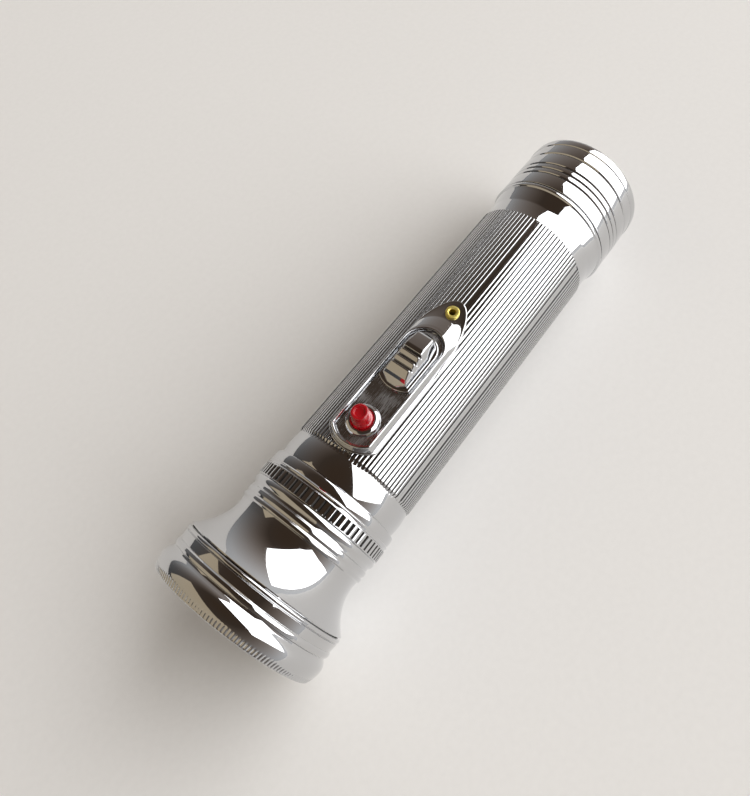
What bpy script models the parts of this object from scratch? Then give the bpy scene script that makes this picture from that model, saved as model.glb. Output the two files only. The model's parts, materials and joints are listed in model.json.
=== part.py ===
"""A chrome-plated hand torch for two D cells, lying on its side with the switch on top.

Every piece is built on the torch's own axis, local +Z, from the outside of the tail cap at height 0 to the
front of the bezel, with the switch on the +X side. An empty then lays the whole torch down. All in metres.
"""

import math

import bmesh
import bpy
from mathutils import Matrix

# Room between pieces
GAP = 0.0003                  # between pieces that touch
THREAD_PLAY = 0.0004          # radial room between screwed pieces
STRIP_ROOM = 0.00185          # radial room beside a cell for the contact strip

# Cells
CELL_DIAMETER = 0.0330
CELL_LENGTH = 0.0615          # over the terminal
CELL_EDGE = 0.0012            # rounded edge of the can
TERMINAL_DIAMETER = 0.0095
TERMINAL_HEIGHT = 0.0015

# Barrel
BARREL_WALL = 0.00065         # under a groove
LINER_WALL = 0.0004           # smooth tube inside the reeds
LINER_LAP = 0.0002            # how far the reeds are sunk in it
REED_DEPTH = 0.0004
REED_COUNT = 102              # with those left out
PANEL_COUNT = 6               # groups of reeds, parted by one reed left out
REED_GROOVE = 0.0004          # width of a fine groove
PANEL_TURN = -4.7             # degrees from the switch's middle to the nearest parting groove
SPIGOT_LENGTH = 0.0125        # inside the tail cap
COLLAR_LENGTH = 0.0118
COLLAR_LIP = 0.0012
COLLAR_STEP = 0.0004
COLLAR_TAPER = 0.0042
FRONT_RING_LENGTH = 0.0073
FRONT_RING_RISE = 0.0002
NECK_LENGTH = 0.0087          # inside the head shell
NECK_COVER = 0.0024           # neck in front of the cell's terminal

# Tail cap
CAP_LENGTH = 0.0217
CAP_WALL = 0.0010
CAP_END = 0.0012
CAP_CORNER = 0.0026
DEEP_GROOVE_PLACE = 0.0075
DEEP_GROOVE_WIDTH = 0.0011
DEEP_GROOVE_DEPTH = 0.00045
FINE_GROOVE_COUNT = 3
FINE_GROOVE_PLACE = 0.0125    # of the rearmost one
FINE_GROOVE_PITCH = 0.0021
FINE_GROOVE_WIDTH = 0.0008
FINE_GROOVE_DEPTH = 0.0003

# Tail spring
SPRING_HEIGHT = 0.0125        # with the cap screwed home
SPRING_WIRE = 0.0011
SPRING_TURNS = 4
SPRING_BASE_DIAMETER = 0.0270
SPRING_TIP_DIAMETER = 0.0140

# Head shell, from its rear edge to the bezel
HEAD_WALL = 0.0007
HEAD_EDGE = 0.0002
RING_LENGTH = 0.0027
RING_BEAD = 0.0006
BAND_PLACE = 0.0041
BAND_LENGTH = 0.0036
BAND_RISE = 0.00015
BAND_TEETH = 84
TOOTH_GROOVE = 0.0006
SLOPE_LENGTH = 0.0022
NECK_GROOVE_WIDTH = 0.0012
NECK_GROOVE_DEPTH = 0.0006
NECK_BEADS = 2
NECK_BEAD_LENGTH = 0.0018
NECK_BEAD_HEIGHT = 0.0003
BELL_STRAIGHT = 0.0014        # from the beads to the narrowest place
BELL_LENGTH = 0.0118          # from there to the mouth
BELL_NECK_DIAMETER = 0.0382
BELL_MOUTH_DIAMETER = 0.0486
HEAD_THREAD_LENGTH = 0.0077

# Bezel ring
BEZEL_WALL = 0.0007
BEZEL_BEAD = 0.0011
BEZEL_BEAD_HEIGHT = 0.00025
BEZEL_BAND = 0.0027
BEZEL_SECOND_BEAD = 0.0018
BEZEL_GROOVE_WIDTH = 0.0007
BEZEL_GROOVE_DEPTH = 0.0002
SHOULDER_RISE = 0.0009        # over the bezel's band
SHOULDER_REAR = 0.0024        # from the groove to the widest place
SHOULDER_FRONT = 0.0042       # from there to the front
SHOULDER_DROP = 0.0009        # how much narrower the front edge is
BEZEL_EDGE = 0.0004
BEZEL_LIP = 0.0011
LIP_WIDTH = 0.0019            # how far the lip covers the lens

# Lens, gasket and reflector
LENS_THICKNESS = 0.0017
GASKET_THICKNESS = 0.0008
GASKET_WIDTH = 0.0018
REFLECTOR_WALL = 0.0006
REFLECTOR_RIM = 0.0015        # width of the flat rim

# Bulb and its socket
BULB_TIP_LENGTH = 0.0013
BULB_TIP_DIAMETER = 0.0044
BULB_TIP_FACE_DIAMETER = 0.0026
BULB_TIP_EDGE = 0.0006
BULB_BASE_LENGTH = 0.0085
BULB_BASE_DIAMETER = 0.0094
BULB_BASE_FOOT = 0.0013       # its tapered end
BULB_GLOBE_DIAMETER = 0.0110
BULB_STEM_DIAMETER = 0.0082
BULB_STEM_LENGTH = 0.0020
SOCKET_WALL = 0.0005
FLANGE_PLACE = 0.0022         # contact flange, in front of the barrel's neck
FLANGE_THICKNESS = 0.0006
FLANGE_DIAMETER = 0.0352
WASHER_THICKNESS = 0.0011
WASHER_DIAMETER = 0.0280

# Switch plate: a half-ellipse tongue, straight sides and a shallow arc in front, with a walled pan in it
PLATE_THICKNESS = 0.0007
PLATE_TONGUE = 0.0215         # length of the half ellipse
PLATE_TIP = 0.00225           # tongue behind the eyelet
PLATE_SETBACK = 0.0009        # from the front of the reeds
PLATE_FLANGE = 0.0009         # flat beside the pan's wall
PLATE_FRONT_FLANGE = 0.0004   # and in front of it
PAN_LENGTH = 0.0387
PAN_WIDTH = 0.0116
PAN_FRONT_RADIUS = 0.0082
PAN_FLOOR = 0.0008
PAN_DEPTH = 0.0011
PAN_RIM = 0.0003              # flat top of the wall
PAN_EDGE = 0.0008             # rounded outside edge of the wall
PAN_REAR_SLOPE = 0.0042       # from the rim down to the tongue
EYELET_ROOM = 0.00045         # between its head and the slope
EYELET_HOLE_DIAMETER = 0.0019
EYELET_WALL = 0.0005
EYELET_FLANGE = 0.0006
EYELET_HEAD = 0.0005

# Thumb slide
SLIDE_LENGTH = 0.0183
SLIDE_BASE = 0.0007
SLIDE_TRAVEL = 0.0060
SLIDE_REAR_ROOM = 0.0021      # behind the slide when it is off
SLIDE_SIDE_ROOM = 0.0009      # to the pan's walls
SLIDE_TOE = 0.0010            # base in front of the grip
GRIP_INSET = 0.0006
GRIP_HEIGHT = 0.0044          # of the dome over the base
GRIP_TOP_WIDTH = 0.0052
GRIP_EDGE = 0.0005
DOME_LENGTH = 0.0071
DOME_ROUND = 0.0026           # rounded rear end of the dome
RIB_COUNT = 2
RIB_LENGTH = 0.0014
RIB_FALL = 0.00025            # each step forward is this much lower
NOTCH_WIDTH = 0.0008
NOTCH_FLOOR = 0.0004
NOTCH_DEPTH = 0.0016
BLOCK_LENGTH = 0.0024
BLOCK_FALL = 0.0006
TAB_LENGTH = 0.0050
TAB_WIDTH = 0.0024
CLIP_LENGTH = 0.0090
CLIP_WIDTH = 0.0048
CLIP_THICKNESS = 0.0004

# Signal button and its ferrule
BUTTON_SETBACK = 0.0087       # from the front of the plate
BUTTON_DIAMETER = 0.0058
BUTTON_TOP_DIAMETER = 0.0045
BUTTON_RISE = 0.0046          # over the ferrule
BUTTON_EDGE = 0.0003
BUTTON_RIM = 0.0006           # ring round the dished top
BUTTON_DISH = 0.0005
BUTTON_DISH_SLOPE = 0.0004
BUTTON_FLANGE = 0.0003
BUTTON_FLANGE_LENGTH = 0.0007
FERRULE_RISE = 0.0014         # over the pan's floor
FERRULE_BOSS_DIAMETER = 0.0093
FERRULE_BOSS_SIDE = 0.0004    # upright part of the boss
FERRULE_RIM = 0.0005          # top of the domed boss round the bore
FERRULE_WALL = 0.0004
FERRULE_LIP = 0.0005
FERRULE_LEDGE = 0.0006        # how far the lip reaches in under the spring
FERRULE_STEP = 0.0008         # thickness of the top over the button's flange
BUTTON_SPRING_WIRE = 0.0003
BUTTON_SPRING_TURNS = 2.5

# Contact strip and insulator
STRIP_THICKNESS = 0.00035
STRIP_WIDTH = 0.0044
INSULATOR_THICKNESS = 0.00045
INSULATOR_WIDTH = 0.0120
INSULATOR_TAIL = 0.0036       # behind the eyelet's middle
STRIP_SETBACK = 0.0012        # from the eyelet to the strip
RIVET_DIAMETER = 0.0016
RIVET_PLACE = 0.0040          # from the strip's rear end

# Facets
TURN_STEPS = 32
SMALL_STEPS = 20
TINY_STEPS = 16
ARC_STEP = math.radians(22.5)
COIL_STEPS = 10               # points to a turn of a spring

# Radii that follow
CELL_RADIUS = CELL_DIAMETER / 2
BORE_RADIUS = CELL_RADIUS + STRIP_ROOM
NECK_RADIUS = BORE_RADIUS + BARREL_WALL
LINER_RADIUS = BORE_RADIUS + LINER_WALL
REEDS_BORE = LINER_RADIUS - LINER_LAP
REED_RADIUS = NECK_RADIUS + REED_DEPTH
CAP_BORE = NECK_RADIUS + THREAD_PLAY
CAP_RADIUS = CAP_BORE + CAP_WALL
HEAD_BORE = NECK_RADIUS + THREAD_PLAY
HEAD_RADIUS = HEAD_BORE + HEAD_WALL
BELL_NECK = BELL_NECK_DIAMETER / 2
BELL_MOUTH = BELL_MOUTH_DIAMETER / 2
HEAD_THREAD = BELL_MOUTH - HEAD_WALL
BEZEL_BORE = HEAD_THREAD + THREAD_PLAY
BEZEL_RADIUS = BEZEL_BORE + BEZEL_WALL
SHOULDER_RADIUS = BEZEL_RADIUS + SHOULDER_RISE
LENS_RADIUS = BEZEL_BORE - 2 * GAP
LIP_RADIUS = LENS_RADIUS - LIP_WIDTH
MIRROR_RADIUS = LENS_RADIUS - REFLECTOR_RIM

# Heights along the torch that follow
CELLS_BASE = CAP_END + SPRING_HEIGHT + 2 * GAP
REAR_TERMINAL = CELLS_BASE + CELL_LENGTH
FRONT_CELL_BASE = REAR_TERMINAL + GAP
FRONT_TERMINAL = FRONT_CELL_BASE + CELL_LENGTH
NECK_END = FRONT_TERMINAL + NECK_COVER
HEAD_REAR = NECK_END - NECK_LENGTH
COLLAR_REAR = CAP_LENGTH + GAP
REEDS_REAR = COLLAR_REAR + COLLAR_LENGTH
REEDS_FRONT = HEAD_REAR - GAP - FRONT_RING_LENGTH
BAND_REAR = HEAD_REAR + BAND_PLACE
BAND_FRONT = BAND_REAR + BAND_LENGTH
SLOPE_FRONT = BAND_FRONT + SLOPE_LENGTH
BEADS_REAR = SLOPE_FRONT + NECK_GROOVE_WIDTH
BEADS_FRONT = BEADS_REAR + NECK_BEADS * NECK_BEAD_LENGTH
BELL_WAIST = BEADS_FRONT + BELL_STRAIGHT
BELL_FRONT = BELL_WAIST + BELL_LENGTH
HEAD_FRONT = BELL_FRONT + HEAD_THREAD_LENGTH
BEZEL_REAR = BELL_FRONT + GAP
BEZEL_BAND_FRONT = BEZEL_REAR + BEZEL_BEAD + BEZEL_BAND
BEZEL_GROOVE_REAR = BEZEL_BAND_FRONT + BEZEL_SECOND_BEAD
SHOULDER_START = BEZEL_GROOVE_REAR + BEZEL_GROOVE_WIDTH
SHOULDER_PLACE = SHOULDER_START + SHOULDER_REAR
TORCH_LENGTH = SHOULDER_PLACE + SHOULDER_FRONT
LENS_FRONT = TORCH_LENGTH - BEZEL_LIP - GAP
LENS_REAR = LENS_FRONT - LENS_THICKNESS
GASKET_REAR = LENS_REAR - GAP - GASKET_THICKNESS
MIRROR_FRONT = GASKET_REAR - GAP
BULB_REAR = FRONT_TERMINAL + GAP
BULB_BASE_REAR = BULB_REAR + BULB_TIP_LENGTH + GAP
BULB_GLASS_REAR = BULB_BASE_REAR + BULB_BASE_LENGTH + GAP
GLOBE_CENTRE = BULB_GLASS_REAR + BULB_STEM_LENGTH + BULB_GLOBE_DIAMETER / 2
SOCKET_BORE = BULB_BASE_DIAMETER / 2 + GAP
SOCKET_RADIUS = SOCKET_BORE + SOCKET_WALL
FLANGE_REAR = NECK_END + FLANGE_PLACE
FLANGE_FRONT = FLANGE_REAR + FLANGE_THICKNESS
MIRROR_NECK = SOCKET_RADIUS + GAP

# Distances of the switch from the torch's axis, and its places along it
PLATE_UNDER = REED_RADIUS + GAP
FLANGE_TOP = PLATE_UNDER + PLATE_THICKNESS
PAN_FLOOR_TOP = PLATE_UNDER + PAN_FLOOR
PAN_TOP = PAN_FLOOR_TOP + PAN_DEPTH
PAN_HALF = PAN_WIDTH / 2
WALL_HALF = PAN_HALF + PAN_RIM
PLATE_HALF = WALL_HALF + PAN_EDGE + PLATE_FLANGE
PLATE_FRONT = REEDS_FRONT - PLATE_SETBACK
WALL_FRONT = PLATE_FRONT - PLATE_FRONT_FLANGE - PAN_EDGE
PAN_FRONT = WALL_FRONT - PAN_RIM
PAN_REAR = PAN_FRONT - PAN_LENGTH
SLOPE_TOP = PAN_REAR - PAN_RIM
WALL_REAR = SLOPE_TOP - PAN_REAR_SLOPE
SLOPE_FOOT = WALL_REAR - PAN_EDGE
WALL_FRONT_RADIUS = PAN_FRONT_RADIUS + PAN_RIM
PLATE_FRONT_RADIUS = WALL_FRONT_RADIUS + PAN_EDGE + PLATE_FRONT_FLANGE
BUTTON_PLACE = PLATE_FRONT - BUTTON_SETBACK
EYELET_BORE = EYELET_HOLE_DIAMETER / 2
EYELET_RADIUS = EYELET_BORE + EYELET_WALL
EYELET_HEAD_RADIUS = EYELET_RADIUS + EYELET_FLANGE
EYELET_PLACE = SLOPE_FOOT - EYELET_ROOM - EYELET_HEAD_RADIUS
PLATE_REAR = EYELET_PLACE - EYELET_HEAD_RADIUS - PLATE_TIP
SLIDE_UNDER = PAN_FLOOR_TOP + GAP
SLIDE_TOP = SLIDE_UNDER + SLIDE_BASE
SLIDE_HALF = PAN_HALF - SLIDE_SIDE_ROOM
SLIDE_REAR = PAN_REAR + SLIDE_REAR_ROOM
SLIDE_FRONT = SLIDE_REAR + SLIDE_LENGTH
SLIDE_CENTRE = (SLIDE_REAR + SLIDE_FRONT) / 2
GRIP_TOP = SLIDE_TOP + GRIP_HEIGHT
GRIP_HALF = SLIDE_HALF - GRIP_INSET
STRIP_UNDER = CELL_RADIUS + GAP
STRIP_TOP = STRIP_UNDER + STRIP_THICKNESS
TAB_END = STRIP_TOP + GAP
INSULATOR_OUTSIDE = BORE_RADIUS - GAP
INSULATOR_INSIDE = INSULATOR_OUTSIDE - INSULATOR_THICKNESS
STRIP_REAR = EYELET_PLACE + EYELET_RADIUS + STRIP_SETBACK
STRIP_FRONT = FLANGE_REAR - GAP
BUTTON_RADIUS = BUTTON_DIAMETER / 2
FLANGE_OF_BUTTON = BUTTON_RADIUS + BUTTON_FLANGE
FERRULE_BORE = BUTTON_RADIUS + GAP
FERRULE_WELL = FLANGE_OF_BUTTON + GAP
FERRULE_RADIUS = FERRULE_WELL + FERRULE_WALL
FERRULE_UNDER = PAN_FLOOR_TOP + GAP
FERRULE_TOP = PAN_FLOOR_TOP + FERRULE_RISE
FERRULE_END = STRIP_TOP + GAP
LIP_TOP = FERRULE_END + FERRULE_LIP
BUTTON_TOP = FERRULE_TOP + BUTTON_RISE
BUTTON_FLANGE_TOP = FERRULE_TOP - FERRULE_STEP - GAP
BUTTON_UNDER = BUTTON_FLANGE_TOP - BUTTON_FLANGE_LENGTH

# How the torch lies: on the bezel's shoulder and the tail cap, one flat of each downwards
FLAT = math.cos(math.pi / TURN_STEPS)
REST_TILT = math.atan2((SHOULDER_RADIUS - CAP_RADIUS) * FLAT, SHOULDER_PLACE - CAP_CORNER)
REST_HEIGHT = SHOULDER_RADIUS * FLAT * math.cos(REST_TILT) - SHOULDER_PLACE * math.sin(REST_TILT)
BEZEL_FACE_RADIUS = SHOULDER_RADIUS - SHOULDER_DROP - BEZEL_EDGE
HEAD_REACH = TORCH_LENGTH * math.cos(REST_TILT) + BEZEL_FACE_RADIUS * FLAT * math.sin(REST_TILT)
TAIL_REACH = (CAP_RADIUS - CAP_CORNER) * FLAT * math.sin(REST_TILT)

# Ways to lay a flat outline: across the axis, facing the switch side, and seen from the side
ACROSS = Matrix.Identity(4)
FACING = Matrix(((0, 0, 1, 0), (0, -1, 0, 0), (1, 0, 0, 0), (0, 0, 0, 1)))
FROM_SIDE = Matrix(((0, 1, 0, 0), (0, 0, 1, 0), (1, 0, 0, 0), (0, 0, 0, 1)))
ON_SWITCH_SIDE = Matrix.Rotation(math.pi / 2, 4, "Y")

for leftover in list(bpy.data.objects):
    bpy.data.objects.remove(leftover, do_unlink=True)

pieces = bpy.data.collections.new("hand_torch")
tools = bpy.data.collections.new("cutters")
bpy.context.scene.collection.children.link(pieces)
bpy.context.scene.collection.children.link(tools)

torch = bpy.data.objects.new("torch_rest", None)
torch.location = ((HEAD_REACH - TAIL_REACH) / 2, 0.0, REST_HEIGHT)
torch.matrix_world = Matrix.Translation(torch.location) @ Matrix((
    (math.sin(REST_TILT), 0, -math.cos(REST_TILT), 0),
    (0, 1, 0, 0),
    (math.cos(REST_TILT), 0, math.sin(REST_TILT), 0),
    (0, 0, 0, 1),
))
pieces.objects.link(torch)


def finish(name, colour, metallic, roughness):
    """A plain material of one colour."""
    material = bpy.data.materials.new(name)
    material.use_nodes = True
    shader = material.node_tree.nodes["Principled BSDF"]
    shader.inputs["Base Color"].default_value = (*colour, 1.0)
    shader.inputs["Metallic"].default_value = metallic
    shader.inputs["Roughness"].default_value = roughness
    return material


CHROME = (0.80, 0.80, 0.81)
BRASS = (0.80, 0.62, 0.25)


def place(obj, matrix):
    """Hang an object on the torch."""
    obj.parent = torch
    obj.matrix_basis = matrix
    return obj


def piece(obj, colour, metallic, roughness):
    """Keep an object as one of the torch's pieces, with a finish of its own."""
    pieces.objects.link(obj)
    obj.data.materials.append(finish(obj.name + "_finish", colour, metallic, roughness))
    return obj


def shape(target, tool, operation):
    """Cut, join or trim a piece with a tool, which is kept out of the picture and can serve again."""
    if tool.name not in tools.objects:
        tools.objects.link(tool)
        tool.hide_render = True
        tool.display_type = "WIRE"
    change = target.modifiers.new(tool.name, "BOOLEAN")
    change.operation = operation
    change.solver = "EXACT"
    change.object = tool


def spaced(low, high, count):
    """Evenly spaced numbers, so many steps from one to the other."""
    return [low + (high - low) * i / count for i in range(count + 1)]


def turned(name, profile, steps=TURN_STEPS, matrix=ACROSS):
    """Turn a profile of (radius, height) about Z: a loop, or a line from the axis back to the axis.

    The profile is given up its outer side and down its inner side.
    """
    shell = bmesh.new()
    points = [shell.verts.new((radius, 0.0, height)) for radius, height in reversed(profile)]
    for start, end in zip(points, points[1:]):
        shell.edges.new((start, end))
    if profile[0][0] > 0.0:
        shell.edges.new((points[-1], points[0]))
    mesh = bpy.data.meshes.new(name)
    shell.to_mesh(mesh)
    shell.free()
    obj = bpy.data.objects.new(name, mesh)
    lathe = obj.modifiers.new("Turn", "SCREW")
    lathe.axis = "Z"
    lathe.angle = 2 * math.pi
    lathe.steps = steps
    lathe.render_steps = steps
    lathe.use_merge_vertices = True
    lathe.merge_threshold = 0.00001
    half_step = Matrix.Rotation(math.pi / steps, 4, "Z")
    return place(obj, matrix @ half_step)


def ring(inside, outside, low, high):
    """The profile of a plain ring."""
    return [(outside, low), (outside, high), (inside, high), (inside, low)]


def as_mesh(curve_object):
    """Turn a curve object into a closed mesh object of the same name, and remove the curve."""
    bpy.context.scene.collection.objects.link(curve_object)
    bpy.context.view_layer.update()
    graph = bpy.context.evaluated_depsgraph_get()
    mesh = bpy.data.meshes.new_from_object(curve_object.evaluated_get(graph))
    welded = bmesh.new()
    welded.from_mesh(mesh)
    bmesh.ops.remove_doubles(welded, verts=welded.verts, dist=0.000001)
    bmesh.ops.recalc_face_normals(welded, faces=welded.faces)
    welded.to_mesh(mesh)
    welded.free()
    name = curve_object.name
    bpy.data.objects.remove(curve_object, do_unlink=True)
    return bpy.data.objects.new(name, mesh)


def slab(name, outlines, low, high, way=FACING, edge=0.0):
    """Extrude flat outlines between two heights, with edges rounded by so much outside the outline."""
    curve = bpy.data.curves.new(name, "CURVE")
    curve.dimensions = "2D"
    curve.fill_mode = "BOTH"
    curve.extrude = (high - low) / 2 - edge
    curve.bevel_depth = edge
    curve.bevel_resolution = 1
    for outline in outlines:
        line = curve.splines.new("POLY")
        line.points.add(len(outline) - 1)
        line.use_cyclic_u = True
        for point, (along, side) in zip(line.points, outline):
            point.co = (along, side, 0.0, 1.0)
    solid = as_mesh(bpy.data.objects.new(name, curve))
    return place(solid, way @ Matrix.Translation((0.0, 0.0, (low + high) / 2)))


def arc(centre, radius, start, end):
    """Points of an arc in a plane, both ends included."""
    angles = spaced(start, end, max(1, round(abs(end - start) / ARC_STEP)))
    return [(centre[0] + radius * math.cos(a), centre[1] + radius * math.sin(a)) for a in angles]


def disc(where, radius):
    """A circle on the middle line."""
    return arc((where, 0.0), radius, 0.0, 2 * math.pi)[:-1]


def bullet(rear, front, half_width, tail, front_radius):
    """An outline with a half ellipse so long as its tail, straight sides and a shallow arc in front."""
    sweep = math.asin(half_width / front_radius)
    quarter = math.pi / 2
    back = [(rear + tail * (1 - x), half_width * y) for x, y in arc((0.0, 0.0), 1.0, -quarter, quarter)]
    return back + arc((front - front_radius, 0.0), front_radius, sweep, -sweep)


def box(rear, front, half_width):
    """A rectangle about the middle line."""
    return [(rear, -half_width), (front, -half_width), (front, half_width), (rear, half_width)]


def bead(radius, low, high, height):
    """The profile of a half-round bead on a turned surface, from its foot up."""
    middle = (low + high) / 2
    half = (high - low) / 2
    return [(radius + height * math.sin(t), middle - half * math.cos(t)) for t in spaced(0.0, math.pi, 3)]


def groove(radius, middle, width, depth):
    """The profile of a turned V groove."""
    return [(radius, middle - width / 2), (radius - depth, middle), (radius, middle + width / 2)]


def milled(name, count, width, low, high, radius):
    """A ring of V-shaped cutters for grooves along a turned surface from one height to another."""
    cutter = bmesh.new()
    bmesh.ops.create_cone(
        cutter, cap_ends=True, segments=4, radius1=width, radius2=width, depth=high - low,
        matrix=Matrix.Translation((radius + width / 2, 0.0, (low + high) / 2)),
    )
    bmesh.ops.spin(
        cutter, geom=cutter.verts[:] + cutter.edges[:] + cutter.faces[:], cent=(0, 0, 0), axis=(0, 0, 1),
        angle=2 * math.pi * (count - 1) / count, steps=count - 1, use_duplicate=True,
    )
    bmesh.ops.recalc_face_normals(cutter, faces=cutter.faces)
    mesh = bpy.data.meshes.new(name)
    cutter.to_mesh(mesh)
    cutter.free()
    return place(bpy.data.objects.new(name, mesh), ACROSS)


def coil(name, wire, turns, low, high, low_radius, high_radius, matrix):
    """A wire spring with its middle line from one height and radius to another."""
    count = round(turns * COIL_STEPS)
    curve = bpy.data.curves.new(name, "CURVE")
    curve.dimensions = "3D"
    curve.bevel_depth = wire / 2
    curve.bevel_resolution = 1
    curve.use_fill_caps = True
    line = curve.splines.new("POLY")
    line.points.add(count)
    for i, point in enumerate(line.points):
        share = i / count
        angle = 2 * math.pi * turns * share
        radius = low_radius + (high_radius - low_radius) * share
        height = low + (high - low) * share
        point.co = (radius * math.cos(angle), radius * math.sin(angle), height, 1.0)
    return place(as_mesh(bpy.data.objects.new(name, curve)), matrix)


# Barrel: a drawn tube with a spigot for the tail cap, a flared collar, a reeded grip, a ring and a neck
def reed_outline():
    """The outline across the reeds: flat tops and V grooves, with one reed left out between two panels."""
    outline = []
    pitch = 2 * math.pi / REED_COUNT
    half_groove = REED_GROOVE / 2 / REED_RADIUS
    for i in range(REED_COUNT):
        start = math.radians(PANEL_TURN) + (i - 0.5) * pitch
        steps = [(start, NECK_RADIUS)]
        if i % (REED_COUNT // PANEL_COUNT) > 0:
            steps += [(start + half_groove, REED_RADIUS), (start + pitch - half_groove, REED_RADIUS)]
        outline += [(r * math.cos(a), r * math.sin(a)) for a, r in steps]
    return outline


collar_foot = COLLAR_REAR + COLLAR_LIP + COLLAR_STEP
collar_height = CAP_RADIUS - COLLAR_STEP - NECK_RADIUS
collar_taper = [
    (NECK_RADIUS + collar_height * (1 - t) ** 2, collar_foot + COLLAR_TAPER * t) for t in spaced(0.0, 1.0, 2)
]
barrel = turned("barrel", [
    (NECK_RADIUS, COLLAR_REAR - SPIGOT_LENGTH),
    (NECK_RADIUS, COLLAR_REAR),
    (CAP_RADIUS, COLLAR_REAR),
    (CAP_RADIUS, COLLAR_REAR + COLLAR_LIP),
    *collar_taper,
    (NECK_RADIUS, REEDS_REAR + GAP),
    (LINER_RADIUS, REEDS_REAR + GAP),
    (LINER_RADIUS, REEDS_FRONT - GAP),
    (NECK_RADIUS + FRONT_RING_RISE, REEDS_FRONT - GAP),
    (NECK_RADIUS + FRONT_RING_RISE, HEAD_REAR - GAP),
    (NECK_RADIUS, HEAD_REAR - GAP),
    (NECK_RADIUS, NECK_END),
    (BORE_RADIUS, NECK_END),
    (BORE_RADIUS, COLLAR_REAR - SPIGOT_LENGTH),
])
piece(barrel, CHROME, 1.0, 0.08)
turn_angles = spaced(0.0, 2 * math.pi, TURN_STEPS)[:-1]
reeds_hole = [(REEDS_BORE * math.cos(a), REEDS_BORE * math.sin(a)) for a in turn_angles]
shape(barrel, slab("reeds", [reed_outline(), reeds_hole], REEDS_REAR, REEDS_FRONT, ACROSS), "UNION")
SLOT_REAR = SLIDE_CENTRE - TAB_LENGTH / 2 - GAP
SLOT_FRONT = SLIDE_CENTRE + TAB_LENGTH / 2 + SLIDE_TRAVEL + GAP
SLOT_HALF = TAB_WIDTH / 2 + GAP
INSIDE = CELL_RADIUS
OUTSIDE = GRIP_TOP + GAP
slot = slab("slide_slot", [box(SLOT_REAR, SLOT_FRONT, SLOT_HALF)], INSIDE, OUTSIDE)
ferrule_hole = slab("ferrule_hole", [disc(BUTTON_PLACE, FERRULE_RADIUS + GAP)], INSIDE, OUTSIDE)
eyelet_hole = slab("eyelet_hole", [disc(EYELET_PLACE, EYELET_RADIUS + GAP)], INSIDE, OUTSIDE)
for tool in (slot, ferrule_hole, eyelet_hole):
    shape(barrel, tool, "DIFFERENCE")

# Tail cap and its spring
corner = arc((CAP_RADIUS - CAP_CORNER, CAP_CORNER), CAP_CORNER, -math.pi / 2, 0.0)
fine_grooves = []
for i in range(FINE_GROOVE_COUNT):
    where = FINE_GROOVE_PLACE + i * FINE_GROOVE_PITCH
    fine_grooves += groove(CAP_RADIUS, where, FINE_GROOVE_WIDTH, FINE_GROOVE_DEPTH)
INNER_CORNER = CAP_CORNER - CAP_WALL
tail_cap = turned("tail_cap", [
    (0.0, 0.0),
    *corner,
    *groove(CAP_RADIUS, DEEP_GROOVE_PLACE, DEEP_GROOVE_WIDTH, DEEP_GROOVE_DEPTH),
    *fine_grooves,
    (CAP_RADIUS, CAP_LENGTH),
    (CAP_BORE, CAP_LENGTH),
    (CAP_BORE, CAP_END + INNER_CORNER),
    (CAP_BORE - INNER_CORNER, CAP_END),
    (0.0, CAP_END),
])
piece(tail_cap, CHROME, 1.0, 0.08)
tail_spring = coil(
    "tail_spring", SPRING_WIRE, SPRING_TURNS,
    CAP_END + GAP + SPRING_WIRE / 2, CELLS_BASE - GAP - SPRING_WIRE / 2,
    SPRING_BASE_DIAMETER / 2, SPRING_TIP_DIAMETER / 2, ACROSS,
)
piece(tail_spring, (0.55, 0.55, 0.56), 1.0, 0.35)


# Cells, each a can with a terminal
def cell(name, base):
    """One D cell: the can, and the terminal on it as a separate piece."""
    can_top = base + CELL_LENGTH - TERMINAL_HEIGHT
    can = turned(name, [
        (0.0, base),
        (CELL_RADIUS - CELL_EDGE, base),
        (CELL_RADIUS, base + CELL_EDGE),
        (CELL_RADIUS, can_top - CELL_EDGE),
        (CELL_RADIUS - CELL_EDGE, can_top),
        (0.0, can_top),
    ], SMALL_STEPS)
    piece(can, (0.05, 0.10, 0.22), 0.0, 0.40)
    tip = base + CELL_LENGTH
    terminal = turned(name + "_terminal", [
        (0.0, can_top + GAP),
        (TERMINAL_DIAMETER / 2, can_top + GAP),
        (TERMINAL_DIAMETER / 2, tip - GAP),
        (TERMINAL_DIAMETER / 2 - GAP, tip),
        (0.0, tip),
    ], SMALL_STEPS)
    piece(terminal, (0.62, 0.62, 0.60), 1.0, 0.30)


cell("rear_cell", CELLS_BASE)
cell("front_cell", FRONT_CELL_BASE)


# Head shell: a smooth ring, the milled grip band, two beads and a bell that flares as a parabola
def bell(offset, count):
    """The bell's profile from its waist to its mouth, moved inwards by an offset, in so many steps."""
    narrow = BELL_NECK - offset
    flare = BELL_MOUTH - BELL_NECK
    return [(narrow + flare * t * t, BELL_WAIST + BELL_LENGTH * t) for t in spaced(0.0, 1.0, count)]


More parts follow.
